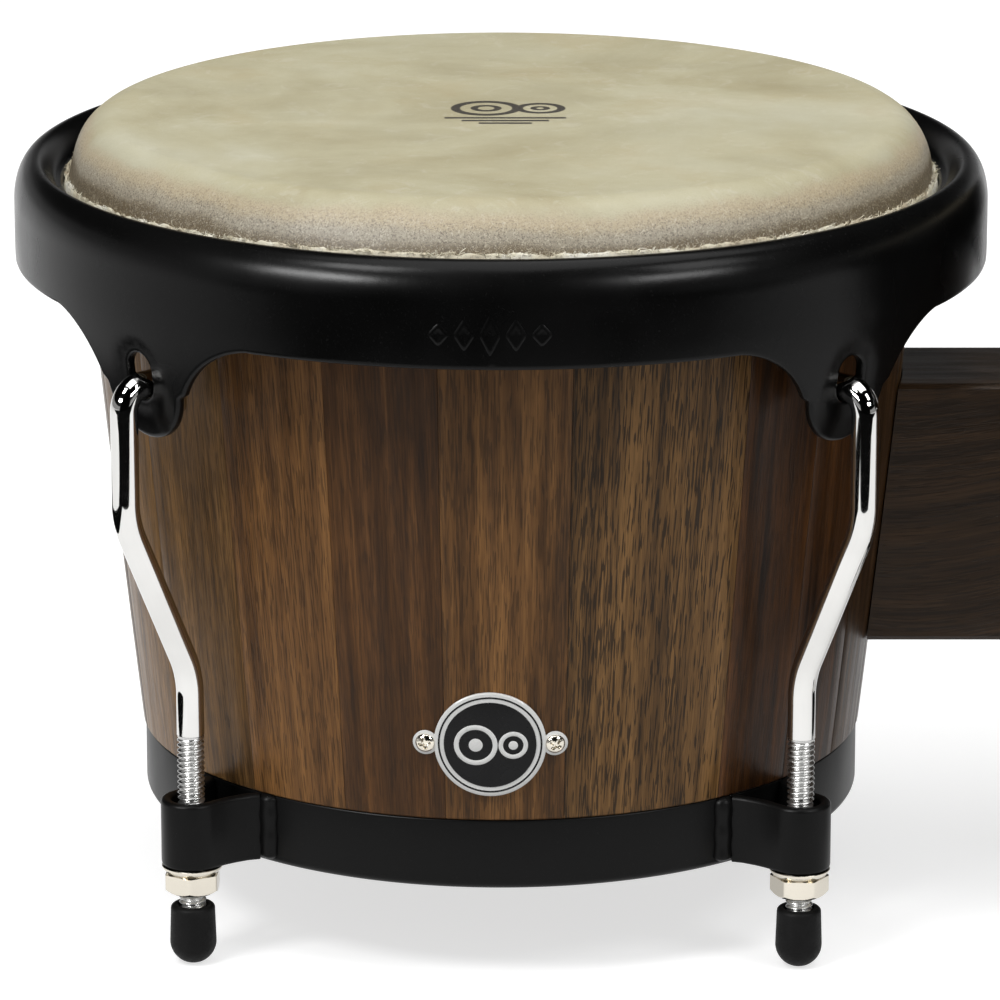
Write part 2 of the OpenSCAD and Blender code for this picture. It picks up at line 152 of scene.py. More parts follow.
def arc(cx, cy, a, b, start, end, steps):
    """Points of an ellipse's arc round (cx, cy), with angles in degrees."""
    angles = np.radians(np.linspace(start, end, steps + 1))
    return [(cx + a * math.cos(t), cy + b * math.sin(t)) for t in angles]


def lathe(profile, angles):
    """Rows along the profile of (radius, height), columns round the axis."""
    profile = np.asarray(profile, float)
    turn = np.radians(np.asarray(angles, float))
    r, z = profile[:, :1], profile[:, 1:]
    return np.dstack([r * np.cos(turn), r * np.sin(turn), z + 0 * turn])


def full_turn(steps):
    return np.arange(steps) * 360.0 / steps


def round_corners(points, radius, steps=6, closed=False):
    """The polyline with each corner made an arc of about that radius."""
    points = [np.asarray(p, float) for p in points]
    out = [] if closed else [points[0]]
    count = len(points)
    for i in range(0 if closed else 1, count if closed else count - 1):
        before, here, after = points[i - 1], points[i], points[(i + 1) % count]
        u, w = before - here, after - here
        reach = min(radius, np.linalg.norm(u) / 2.01, np.linalg.norm(w) / 2.01)
        start = here + u / np.linalg.norm(u) * reach
        end = here + w / np.linalg.norm(w) * reach
        for t in np.linspace(0, 1, steps + 1):
            out.append((1 - t) ** 2 * start + 2 * t * (1 - t) * here + t * t * end)
    if not closed:
        out.append(points[-1])
    return np.array(out)


def sweep(path, section):
    """Rows along a path of 3-D points, with a section of (sideways, upward) points at each."""
    path = np.asarray(path, float)
    tangent = np.gradient(path, axis=0)
    tangent /= np.linalg.norm(tangent, axis=1)[:, None]
    side = np.cross(tangent[0], [0.0, 1.0, 0.0])
    if np.linalg.norm(side) < 0.1:
        side = np.cross(tangent[0], [1.0, 0.0, 0.0])
    rows = []
    for point, t in zip(path, tangent):
        side = side - np.dot(side, t) * t
        side /= np.linalg.norm(side)
        up = np.cross(t, side)
        rows.append([point + s * side + u * up for s, u in section])
    return np.array(rows)


def circle_section(radius, steps):
    return arc(0, 0, radius, radius, 0, 360 - 360 / steps, steps - 1)


def ease(x):
    x = np.clip(x, 0, 1)
    return x * x * (3 - 2 * x)


# ------------------------------------------------------------------ materials

class Material:
    """A node material; each helper adds a node and returns its output socket."""

    def __init__(self, name, **settings):
        self.material = bpy.data.materials.new(name)
        self.material.use_nodes = True
        self.tree = self.material.node_tree
        self.shader = self.tree.nodes["Principled BSDF"]
        for key, value in settings.items():
            self.shader.inputs[key.replace("_", " ")].default_value = value

    def node(self, kind, *links, **settings):
        made = self.tree.nodes.new("ShaderNode" + kind)
        for key, value in settings.items():
            setattr(made, key, value)
        for index, value in links:
            self.feed(made.inputs[index], value)
        return made

    def feed(self, socket, value):
        if isinstance(value, bpy.types.NodeSocket):
            self.tree.links.new(value, socket)
        else:
            socket.default_value = value

    def place(self, scale=(1, 1, 1), attribute=None, shift=(0, 0, 0)):
        """Object coordinates, or a vector attribute, scaled."""
        if attribute:
            source = self.node("Attribute", attribute_name=attribute).outputs["Vector"]
        else:
            source = self.node("TexCoord").outputs["Object"]
        return self.node("Mapping", (0, source), (1, shift), (3, scale)).outputs[0]

    def value(self, attribute):
        return self.node("Attribute", attribute_name=attribute).outputs["Fac"]

    def noise(self, place, scale, detail=3.0, rough=0.5, warp=0.0):
        return self.node("TexNoise", (0, place), ("Scale", scale), ("Detail", detail),
                         ("Roughness", rough), ("Distortion", warp)).outputs["Fac"]

    def math(self, operation, a, b=0.0, c=0.0):
        return self.node("Math", (0, a), (1, b), (2, c), operation=operation).outputs[0]

    def band(self, value, low, high, bottom=0.0, top=1.0):
        """Smooth step of a value between low and high."""
        return self.node("MapRange", (0, value), (1, low), (2, high), (3, bottom), (4, top),
                         interpolation_type="SMOOTHSTEP").outputs[0]

    def ramp(self, value, stops):
        made = self.node("ValToRGB", (0, value))
        ramp = made.color_ramp
        while len(ramp.elements) < len(stops):
            ramp.elements.new(0.5)
        for element, (position, colour) in zip(ramp.elements, stops):
            element.position = position
            element.color = (*colour, 1)
        return made.outputs["Color"]

    def mix(self, fac, a, b, blend="MIX"):
        made = self.node("Mix", data_type="RGBA", blend_type=blend)
        self.feed(made.inputs[0], fac)
        for index, value in ((6, a), (7, b)):
            self.feed(made.inputs[index], value if not isinstance(value, tuple) else (*value, 1))
        return made.outputs[2]

    def split(self, place):
        return self.node("SeparateXYZ", (0, place)).outputs

    def bump(self, height, distance, strength):
        """Normal for a height field, its distance in mm."""
        links = [("Height", height), ("Distance", distance * MM), ("Strength", strength)]
        return self.node("Bump", *links).outputs[0]

    def done(self, colour=None, roughness=None, normal=None):
        for key, value in (("Base Color", colour), ("Roughness", roughness), ("Normal", normal)):
            if value is not None:
                self.feed(self.shader.inputs[key], value)
        return self.material


def wood(name, dark, middle, light, roughness=0.33):
    """Satin lacquered wood. Its grain attribute runs along z, and tone, red and pore vary it."""
    m = Material(name, Specular_IOR_Level=0.15)
    tone, red, pore = m.value("tone"), m.value("red"), m.value("pore")

    def along(scale, *settings):
        return m.noise(m.place(scale, "grain"), 1.0, *settings)

    bands = along((110, 110, 5), 4.0, 0.6, 0.6)
    streaks = along((420, 420, 9), 5.0, 0.62, 0.3)
    fibres = along((2600, 2600, 70), 3.0, 0.6)
    figure = along((60, 60, 60), 2.0, 0.5, 0.8)
    spread = m.math("MULTIPLY_ADD", streaks, 0.8, m.math("MULTIPLY", bands, 0.9))
    spread = m.math("MULTIPLY_ADD", figure, 0.12, spread)
    spread = m.math("ADD", spread, m.math("SUBTRACT", tone, 0.92))
    colour = m.ramp(spread, [(0.18, dark), (0.5, middle), (0.82, light)])
    colour = m.mix(m.math("MULTIPLY", red, 0.55), colour, (0.62, 0.24, 0.11), "SOFT_LIGHT")
    colour = m.mix(m.band(fibres, 0.35, 0.7, 0.0, 0.35), colour, tuple(c * 0.45 for c in dark))
    dashes = along((2500, 2500, 120), 1.0, 0.4)
    where = along((70, 70, 14), 2.0)
    holes = m.band(m.math("MULTIPLY_ADD", where, 0.2, dashes), 0.645, 0.69)
    contour = along((330, 330, 7), 2.0, 0.55, 0.5)
    fold = m.math("ABSOLUTE", m.math("SUBTRACT", m.math("FRACT", m.math("MULTIPLY", contour, 9.0)), 0.5))
    lines = m.math("MULTIPLY", m.band(fold, 0.02, 0.09, 0.75, 0.0), m.band(where, 0.4, 0.6, 0.25, 1.0))
    holes = m.math("MULTIPLY", m.math("MAXIMUM", holes, lines), pore)
    colour = m.mix(m.math("MULTIPLY", holes, 0.82), colour, (0.012, 0.0075, 0.004))
    sheen = along((300, 300, 20))
    rough = m.band(sheen, 0.3, 0.7, roughness - 0.05, roughness + 0.07)
    normal = m.bump(m.math("SUBTRACT", fibres, m.math("MULTIPLY", holes, 2.0)), 0.05, 0.5)
    return m.done(colour, rough, normal)


def rawhide(name):
    """Stretched hide: cream, mottled, with a browner speckled band at the shoulder."""
    m = Material(name)
    where = m.place()
    x, y = m.split(where)[:2]
    cloud = m.noise(where, 16.0, 5.0, 0.62, 0.6)
    blotch = m.noise(m.place(shift=(3, 1, 2)), 45.0, 4.0, 0.6)
    base = m.ramp(cloud, [(0.3, (0.325, 0.285, 0.17)), (0.5, (0.40, 0.37, 0.245)),
                          (0.7, (0.455, 0.435, 0.32))])
    base = m.mix(m.band(blotch, 0.52, 0.72, 0, 0.35), base, (0.35, 0.285, 0.16))
    veins = m.noise(where, 130.0, 3.0, 0.7, 1.5)
    base = m.mix(m.band(veins, 0.56, 0.68, 0, 0.22), base, (0.52, 0.50, 0.42))
    drift = m.noise(where, 38.0, 4.0, 0.65)
    level = m.math("MULTIPLY_ADD", m.math("SUBTRACT", drift, 0.5), 0.5, m.value("drop"))
    for start, end, share, colour in ((0.10, 0.30, 0.75, (0.42, 0.335, 0.215)),
                                      (0.34, 0.52, 0.8, (0.33, 0.295, 0.225)),
                                      (0.56, 0.72, 0.92, (0.17, 0.125, 0.065))):
        base = m.mix(m.band(level, start, end, 0, share), base, colour)
    low = m.band(level, 0.05, 0.5)
    speck = m.noise(where, 2200.0, 3.0, 0.8)
    hairs = m.noise(where, 1300.0, 4.0, 0.75, 2.0)
    base = m.mix(m.math("MULTIPLY", m.band(speck, 0.5, 0.6), m.math("MULTIPLY_ADD", low, 0.7, 0.05)),
                 base, (0.10, 0.075, 0.05))
    base = m.mix(m.math("MULTIPLY", m.band(hairs, 0.52, 0.62), m.math("MULTIPLY_ADD", low, 0.75, 0.06)),
                 base, (0.56, 0.50, 0.38))
    base = m.mix(motif_mask(m, x, y, speck), base, (0.035, 0.03, 0.025))
    grain = m.noise(where, 900.0, 3.0, 0.6)
    rough = m.band(blotch, 0.3, 0.7, 0.42, 0.6)
    normal = m.bump(m.math("MULTIPLY_ADD", speck, 1.5, grain), 0.08, 0.6)
    return m.done(base, rough, normal)


def motif_mask(m, x, y, wear):
    """Printed motif near the head's centre: two rings side by side over three short bars."""
    ink = None
    for cx, r, t in ((-3.5, 7.2, 1.8), (9.2, 5.0, 1.6), (-3.5, 2.8, 1.4), (9.2, 1.6, 1.2)):
        dx = m.math("SUBTRACT", x, cx * MM)
        dy = m.math("SUBTRACT", y, 2.0 * MM)
        far = m.math("SQRT", m.math("ADD", m.math("MULTIPLY", dx, dx), m.math("MULTIPLY", dy, dy)))
        off = m.math("ABSOLUTE", m.math("SUBTRACT", far, r * MM))
        ring = m.band(off, t * MM * 0.5, t * MM * 0.72, 1, 0)
        ink = ring if ink is None else m.math("MAXIMUM", ink, ring)
    for cy, half in ((-8.6, 14.0), (-11.6, 10.0), (-14.4, 6.0)):
        across = m.math("ABSOLUTE", m.math("SUBTRACT", x, 1.0 * MM))
        along = m.math("ABSOLUTE", m.math("SUBTRACT", y, cy * MM))
        bar = m.band(across, half * MM, (half + 0.4) * MM, 1, 0)
        row = m.band(along, 0.7 * MM, 1.0 * MM, 1, 0)
        ink = m.math("MAXIMUM", ink, m.math("MULTIPLY", bar, row))
    return m.math("MULTIPLY", ink, m.band(wear, 0.3, 0.45, 0.7, 0.97))


def hide_edge(name):
    """The cut edge of the hide: whitish, fibrous and speckled."""
    m = Material(name)
    where = m.place()
    patch = m.noise(where, 90.0, 4.0, 0.6)
    fibre = m.noise(where, 1500.0, 3.0, 0.7)
    colour = m.ramp(patch, [(0.3, (0.42, 0.34, 0.22)), (0.5, (0.70, 0.65, 0.50)),
                            (0.68, (0.86, 0.84, 0.76))])
    colour = m.mix(m.band(fibre, 0.52, 0.66, 0, 0.5), colour, (0.16, 0.12, 0.08))
    return m.done(colour, m.band(patch, 0.3, 0.7, 0.6, 0.8), m.bump(fibre, 0.2, 0.7))


def black_coat(name, roughness, base, gloss):
    """Satin black powder coat, with a faint orange peel and a few duller patches."""
    m = Material(name, Specular_IOR_Level=gloss)
    where = m.place()
    peel = m.noise(where, 650.0, 2.0, 0.5)
    patch = m.noise(where, 22.0, 3.0, 0.6)
    dust = m.noise(where, 2600.0, 1.0, 0.5)
    dull = base * 1.5
    colour = m.mix(m.band(patch, 0.35, 0.7), (base, base, base * 0.98), (dull, dull, dull))
    colour = m.mix(m.band(dust, 0.68, 0.74, 0, 0.15), colour, (0.05, 0.05, 0.05))
    rough = m.band(patch, 0.3, 0.7, roughness - 0.04, roughness + 0.05)
    return m.done(colour, rough, m.bump(peel, 0.03, 0.35))


def metal(name, colour, roughness, scratch=0.0, scale=(1, 1, 1)):
    """Plated or bare metal, with a faint wipe pattern in its gloss."""
    m = Material(name, Metallic=1.0)
    where = m.place(scale)
    wipe = m.noise(where, 400.0, 4.0, 0.6)
    cloud = m.noise(where, 60.0, 2.0, 0.5)
    tint = m.mix(m.band(cloud, 0.3, 0.7), colour, tuple(c * 0.93 for c in colour))
    rough = m.band(wipe, 0.35, 0.7, roughness * 0.75, roughness * 1.35)
    return m.done(tint, rough, m.bump(wipe, 0.01, scratch) if scratch else None)


def rubber(name):
    m = Material(name, Specular_IOR_Level=0.12)
    where = m.place()
    grain = m.noise(where, 1800.0, 2.0, 0.6)
    bloom = m.noise(where, 150.0, 3.0, 0.6)
    colour = m.mix(m.band(bloom, 0.35, 0.75), (0.003, 0.003, 0.003), (0.007, 0.007, 0.007))
    return m.done(colour, m.band(grain, 0.3, 0.7, 0.5, 0.68), m.bump(grain, 0.05, 0.5))


def enamel(name, colour, second, gloss):
    m = Material(name, Specular_IOR_Level=gloss)
    where = m.place()
    cloud = m.noise(where, 120.0, 3.0, 0.6)
    speck = m.noise(where, 1500.0, 1.0)
    mixed = m.mix(m.band(cloud, 0.3, 0.7), colour, second)
    mixed = m.mix(m.band(speck, 0.68, 0.74, 0, 0.2), mixed, tuple(0.9 * a + 0.01 for a in colour))
    return m.done(mixed, m.band(cloud, 0.3, 0.7, 0.22, 0.32), m.bump(speck, 0.01, 0.3))


SHELL_WOOD = wood("stave_lacquered_wood",
                  (0.014, 0.009, 0.004), (0.10, 0.057, 0.020), (0.31, 0.18, 0.066))
BLOCK_WOOD = wood("block_lacquered_wood",
                  (0.019, 0.012, 0.007), (0.043, 0.028, 0.014), (0.095, 0.060, 0.030))
HIDE_STAMPED = rawhide("rawhide_printed")
HIDE_EDGE = hide_edge("rawhide_cut_edge")
RIM_BLACK = black_coat("rim_black_coat", 0.26, 0.002, 0.12)
RING_BLACK = black_coat("ring_black_coat", 0.36, 0.003, 0.11)
CHROME = metal("rod_chrome", (0.63, 0.625, 0.61), 0.05)
THREAD = metal("thread_chrome", (0.56, 0.56, 0.55), 0.28, 0.05)
NICKEL = metal("nut_nickel", (0.64, 0.60, 0.52), 0.13, 0.1)
STEEL = metal("plate_steel", (0.55, 0.55, 0.55), 0.3, 0.3, (1, 1, 6))
RUBBER = rubber("tip_rubber")
WHITE = enamel("badge_white", (0.93, 0.93, 0.91), (0.89, 0.89, 0.87), 0.4)
BLACK = enamel("badge_black", (0.003, 0.003, 0.0035), (0.006, 0.006, 0.0065), 0.15)


# ------------------------------------------------------------------ one drum

class Drum:
    """The sizes of one drum, worked out from its CAD nodes, and its frame in the row."""

    def __init__(self, name, mirrored):
        self.name, self.mirrored = name, mirrored
        low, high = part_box(name + "_bottom_ring")
        self.x = (low.x + high.x) / 2 / MM
        self.base = low.z / MM
        self.ring_r = (high.x - low.x) / 2 / MM
        self.ring_h = (high.z - low.z) / MM
        low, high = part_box(name + "_head")
        self.head_r = (high.x - low.x) / 2 / MM + 0.2
        self.head_top = high.z / MM - self.base
        low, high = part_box(name + "_rim")
        self.rim_r = (high.x - low.x) / 2 / MM
        self.rim_top = high.z / MM - self.base
        low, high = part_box(name + "_rod_tips")
        self.tip_bottom = low.z / MM - self.base
        self.tip_top = high.z / MM - self.base
        self.rod_low = self.head_r - 2.4
        self.shells = "shells"
        self.rim_body = name + "_tuning_rim"
        self.place = (self.x, 0, self.base, 0)

    def shell_r(self, z):
        return self.head_r - 17.6 + 0.1145 * z - 0.00008 * z * z

    def corner(self, key):
        """Place of a corner's own frame, with +X pointing out of the drum."""
        return (self.x, 0, self.base, FRONT + CORNERS[key] + HARDWARE_TURN)


# Look of each stave from the front round to the right: tone, redness, pores
STAVE_LOOKS = [
    (0.59, 0.55, 0.6), (0.66, 0.3, 1.0), (0.37, 0.9, 0.5), (0.34, 0.9, 0.4), (0.42, 0.5, 0.6),
    (0.55, 0.3, 0.9), (0.45, 0.6, 0.4), (0.62, 0.2, 0.9), (0.38, 0.8, 0.5), (0.5, 0.4, 0.8),
    (0.6, 0.3, 0.7), (0.42, 0.7, 0.5), (0.52, 0.5, 0.9), (0.36, 0.6, 0.4), (0.58, 0.2, 0.8),
    (0.55, 0.1, 0.5), (0.80, 0.25, 0.45), (0.62, 0.3, 0.5), (0.71, 0.6, 0.6), (0.50, 0.7, 0.45),
]


def shell_outline(drum):
    """Closed section of the wall: foot and rebate, outer curve, bearing edge, inner curve."""
    ring_in = drum.ring_r - RING_T - 0.1
    foot, step = RING_T + 0.1, drum.ring_h + 0.1
    shoulder_z = drum.head_top - SHOULDER_H
    edge_r = drum.head_r - SHOULDER_IN
    edge_a = drum.shell_r(shoulder_z) - edge_r
    edge_b = drum.head_top - HIDE - 0.1 - shoulder_z
    inner_top = shoulder_z + edge_b - 1.8
    outline = [(ring_in, foot + 0.6), (ring_in, step), (drum.shell_r(step) - 0.35, step)]
    outline += [(drum.shell_r(z), z) for z in np.linspace(step + 0.35, shoulder_z, 30)]
    outline += arc(edge_r, shoulder_z, edge_a, edge_b, 6, 90, 12)
    outline += [(drum.shell_r(z) - WALL, z) for z in np.linspace(inner_top, foot + 0.8, 16)]
    outline += [(drum.shell_r(foot) - WALL + 0.8, foot)]
    return outline


def make_shell(drum):
    """The staves, each a closed solid with its own grain and its long edges eased at the glue lines."""
    outline = np.array(shell_outline(drum))
    shape = Shape()
    start = STAVE_START
    for i, width in enumerate(STAVE_WIDTHS):
        end = start + width - GLUE_LINE
        first, last = (-end, -start) if drum.mirrored else (start, end)
        start += width
        soft = math.degrees(0.3 / drum.head_r)
        steps = np.concatenate([[first], np.linspace(first + soft, last - soft, 9), [last]])
        points = lathe(outline, FRONT + steps)
        across = np.radians(steps - first)[None, :] * drum.head_r + 0 * outline[:, :1]
        sunk = np.zeros(len(steps))
        sunk[0] = sunk[-1] = 0.1
        radial = np.linalg.norm(points[..., :2], axis=2)
        outside = (radial > drum.shell_r(outline[:, 1:]) - 0.5) & (outline[:, 1:] > drum.ring_h)
        points[..., :2] *= (1 - outside * sunk[None, :] / radial)[..., None]
        lean = 0.02 * math.sin(5 * i + drum.mirrored)
        grain = np.dstack([
            across + lean * points[..., 2] + 61 * i + 17 * drum.mirrored,
            0.3 * radial + 37 * i, points[..., 2] + 211 * i
        ]) * MM
        tone, red, pore = STAVE_LOOKS[i]
        columns = points.transpose(1, 0, 2)
        shape.grid(columns, wrap_columns=True, caps=True, grain=grain.transpose(1, 0, 2).reshape(-1, 3),
                   tone=tone, red=red, pore=pore)
    piece = shape.make(drum.name + "_staves", SHELL_WOOD, drum.shells, "stave_wood", 30, 0, drum.place)
    clean(piece.data)
    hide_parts(drum.name + "_shell")


def make_head(drum):
    """The playing skin: flat top, rounded shoulder, and a collar down behind the rim."""
    hr, top = drum.head_r, drum.head_top
    shoulder_z, mid = top - SHOULDER_H, hr - SHOULDER_IN
    in_a = drum.shell_r(shoulder_z) + 0.1 - mid
    collar = np.linspace(shoulder_z, COLLAR_LOW, 5)
    outline = [(r, top) for r in np.linspace(0.5, mid - 4, 26)]
    outline += arc(mid, shoulder_z, SHOULDER_IN - 0.2, SHOULDER_H, 96, 0, 20)
    outline += [(drum.shell_r(z) + HIDE + 0.2, z) for z in collar[1:]]
    outline += [(drum.shell_r(z) + 0.1, z) for z in collar[::-1]]
    outline += arc(mid, shoulder_z, in_a, SHOULDER_H - HIDE, 8, 90, 12)
    outline += [(0.5, top - HIDE)]
    points = lathe(outline, full_turn(288))
    angle = np.radians(full_turn(288))[None, :]
    radial = np.linalg.norm(points[..., :2], axis=2)
    wave = 0.12 * np.sin(9 * angle + 1.3) + 0.1 * np.sin(17 * angle) + 0.07 * np.sin(31 * angle + 2)
    outer = (np.arange(len(outline)) < 46)[:, None]
    soft = ease((radial - mid) / 8) * ease((top + 2 - points[..., 2]) / 8) * outer
    points[..., :2] *= (1 - (0.22 - wave) * soft / radial)[..., None]
    drop = (top - points[..., 2]) / SHOULDER_H
    shape = Shape().grid(points, wrap_columns=True, caps=True, drop=drop.ravel())
    on_drum(drum, shape, "skin", HIDE_STAMPED, drum.shells, "rawhide", 60, 0.001, node="head")


def flap_drop(angle):
    """How far the turned-up edge ends below its height in front, at angles in radians from +X."""
    return np.minimum(3.4, 4.2 * (1 - np.cos(angle - math.radians(FRONT)))) - 0.6


def make_tuck(drum):
    """The hide's edge: round the flesh hoop and turned up, with a ragged, fibrous cut edge."""
    hr = drum.head_r
    turn = full_turn(480)
    angle = np.radians(turn)
    hoop_r, hoop_z = hr + HOOP_OFF, HOOP_Z
    shape = Shape()
    for radius, end, steps in ((3.8, 345, 23), (2.55, 330, 11)):
        rows = lathe(arc(hoop_r, hoop_z, radius, radius, 0, end, steps), turn)
        shape.grid(rows, wrap_rows=True, wrap_columns=True)
    ragged = 0.2 * np.sin(23 * angle) + 0.15 * np.sin(57 * angle + 1) + 0.2 * np.sin(131 * angle + 2)
    ragged += 0.22 * np.array([random.uniform(-1, 1) for _ in turn])
    ragged -= flap_drop(angle)
    outline = np.array([(0.15, hoop_z), (0.15, 149), (0.0, 151.6), (0.05, 152.5), (0.3, 152.8),
                        (0.55, 152.5), (0.75, 151.6), (1.1, 149), (1.15, hoop_z + 2)])
    points = lathe(outline + [hr, 0], turn)
    lift = ease((points[..., 2] - 146) / 6)
    points[..., 2] += lift * ragged[None, :]
    radial = np.linalg.norm(points[..., :2], axis=2)
    points[..., :2] *= (1 + lift * 0.25 * np.sin(41 * angle)[None, :] / radial)[..., None]
    shape.grid(points, wrap_rows=True, wrap_columns=True)
    on_drum(drum, shape, "hide_edge", HIDE_EDGE, drum.rim_body, "rawhide", 50, 0.001, node="head_tuck")
    fibres = Shape()
    for _ in range(2400):
        a = random.uniform(0, 2 * math.pi)
        r = hr + random.uniform(-0.05, 0.7)
        length = random.uniform(0.5, 1.5) * (1.7 if random.random() < 0.05 else 1)
        lean, twist = random.uniform(-0.5, 0.6), random.uniform(-1.4, 1.4)
        path, foot = [], 152.1 - flap_drop(a)
        for t in np.linspace(0, 1, 4):
            out = r + lean * length * t * t
            turned = a + twist * length * t * t / r
            path.append((out * math.cos(turned), out * math.sin(turned),
                         foot + length * (t - 0.3 * t * t * abs(twist))))
        section = circle_section(random.uniform(0.05, 0.1), 3)
        fibres.grid(sweep(path, section), wrap_columns=True, caps=True)
    on_drum(drum, fibres, "hide_fibres", HIDE_EDGE, drum.rim_body, "rawhide", 60)


# ------------------------------------------------------------------ tuning rim

BAND_BOTTOM = 130.2
JOIN_Z = 136.0                      # the sheet with the ears meets the revolved crest here
CREST_Z, CREST_IN = 144.5, 5.2      # centre of the crest's curve, in from the rim's outside
EAR_R, EAR_Z = 12.3, 117.3
FLARE_R = 23.0
SLOT_HALF, SLOT_LOW, SLOT_TOP = 3.9, 114.2, 125.2
EDGE = 0.7                          # rounding of the sheet's cut edges


def skirt_r(drum, z):
    return drum.rim_r - 0.0048 * np.maximum(135.0 - z, 0) ** 2


def crest_outline(drum):
    """Open section from the outer wall over the crest to the lip and back along the underside."""
    crest_r, lip_r = drum.rim_r - CREST_IN, drum.head_r + 1.3
    rise = drum.rim_top - CREST_Z
    slope = []
    for t in np.linspace(0, 1, 15):
        slope.append((lip_r + 1.2 + (crest_r - lip_r - 1.2) * t,
                      149.2 + (drum.rim_top - 149.2) * (1 - math.cos(math.pi * t)) / 2))
    outline = [(drum.rim_r, z) for z in np.linspace(JOIN_Z, 144, 5)]
    outline += arc(crest_r, CREST_Z, CREST_IN, rise, 0, 84, 16)
    outline += slope[::-1][1:]
    outline += arc(lip_r + 1.0, 148.1, 1.0, 1.1, 80, 260, 8)
    under = [(r, z - RIM_T) for r, z in slope[2:-2]]
    outline += under
    outline += arc(crest_r, CREST_Z, CREST_IN - RIM_T, rise - RIM_T, 75, 0, 9)
    outline += [(drum.rim_r - RIM_T, z) for z in np.linspace(143, JOIN_Z, 5)]
    return outline


def ear_edge():
    """Lower edge of the sheet on one side of an ear, from the ear's foot out to the band."""
    flare_x = FLARE_R + EAR_R - 0.5
    flare_z = BAND_BOTTOM - FLARE_R + 0.15
    side = arc(0, EAR_Z, EAR_R, EAR_R, -90, -8, 22)
    side += [(EAR_R, EAR_Z - 1.1), (EAR_R + 0.7, EAR_Z - 0.6)]
    start = math.degrees(math.asin((EAR_Z + 0.1 - flare_z) / FLARE_R))
    side += arc(flare_x, flare_z, FLARE_R, FLARE_R, 180 - start, 96, 22)
    return [np.array(p) for p in side]


def spaced(points, gap):
    """The polyline with points at an even spacing."""
    points = np.asarray(points, float)
    far = np.concatenate([[0], np.cumsum(np.linalg.norm(np.diff(points, axis=0), axis=1))])
    at = np.linspace(0, far[-1], max(2, round(far[-1] / gap) + 1))
    return np.column_stack([np.interp(at, far, points[:, i]) for i in (0, 1)])


def inward(loop, closed):
    """Unit normals that point to the left of the way the polyline runs."""
    if closed:
        step = np.roll(loop, -1, axis=0) - np.roll(loop, 1, axis=0)
    else:
        step = np.gradient(loop, axis=0)
    for _ in range(2):
        if closed:
            step = (np.roll(step, 1, axis=0) + 2 * step + np.roll(step, -1, axis=0)) / 4
        else:
            step[1:-1] = (step[:-2] + 2 * step[1:-1] + step[2:]) / 4
    step /= np.linalg.norm(step, axis=1)[:, None]
    return np.column_stack([-step[:, 1], step[:, 0]])


def inside(point, loop):
    """Whether a 2-D point is inside a closed loop."""
    x, y = point
    a, b = loop, np.roll(loop, -1, axis=0)
    crosses = (a[:, 1] > y) != (b[:, 1] > y)
    with np.errstate(divide="ignore", invalid="ignore"):
        at = a[:, 0] + (y - a[:, 1]) * (b[:, 0] - a[:, 0]) / (b[:, 1] - a[:, 1])
    return np.count_nonzero(crosses & (at > x)) % 2 == 1


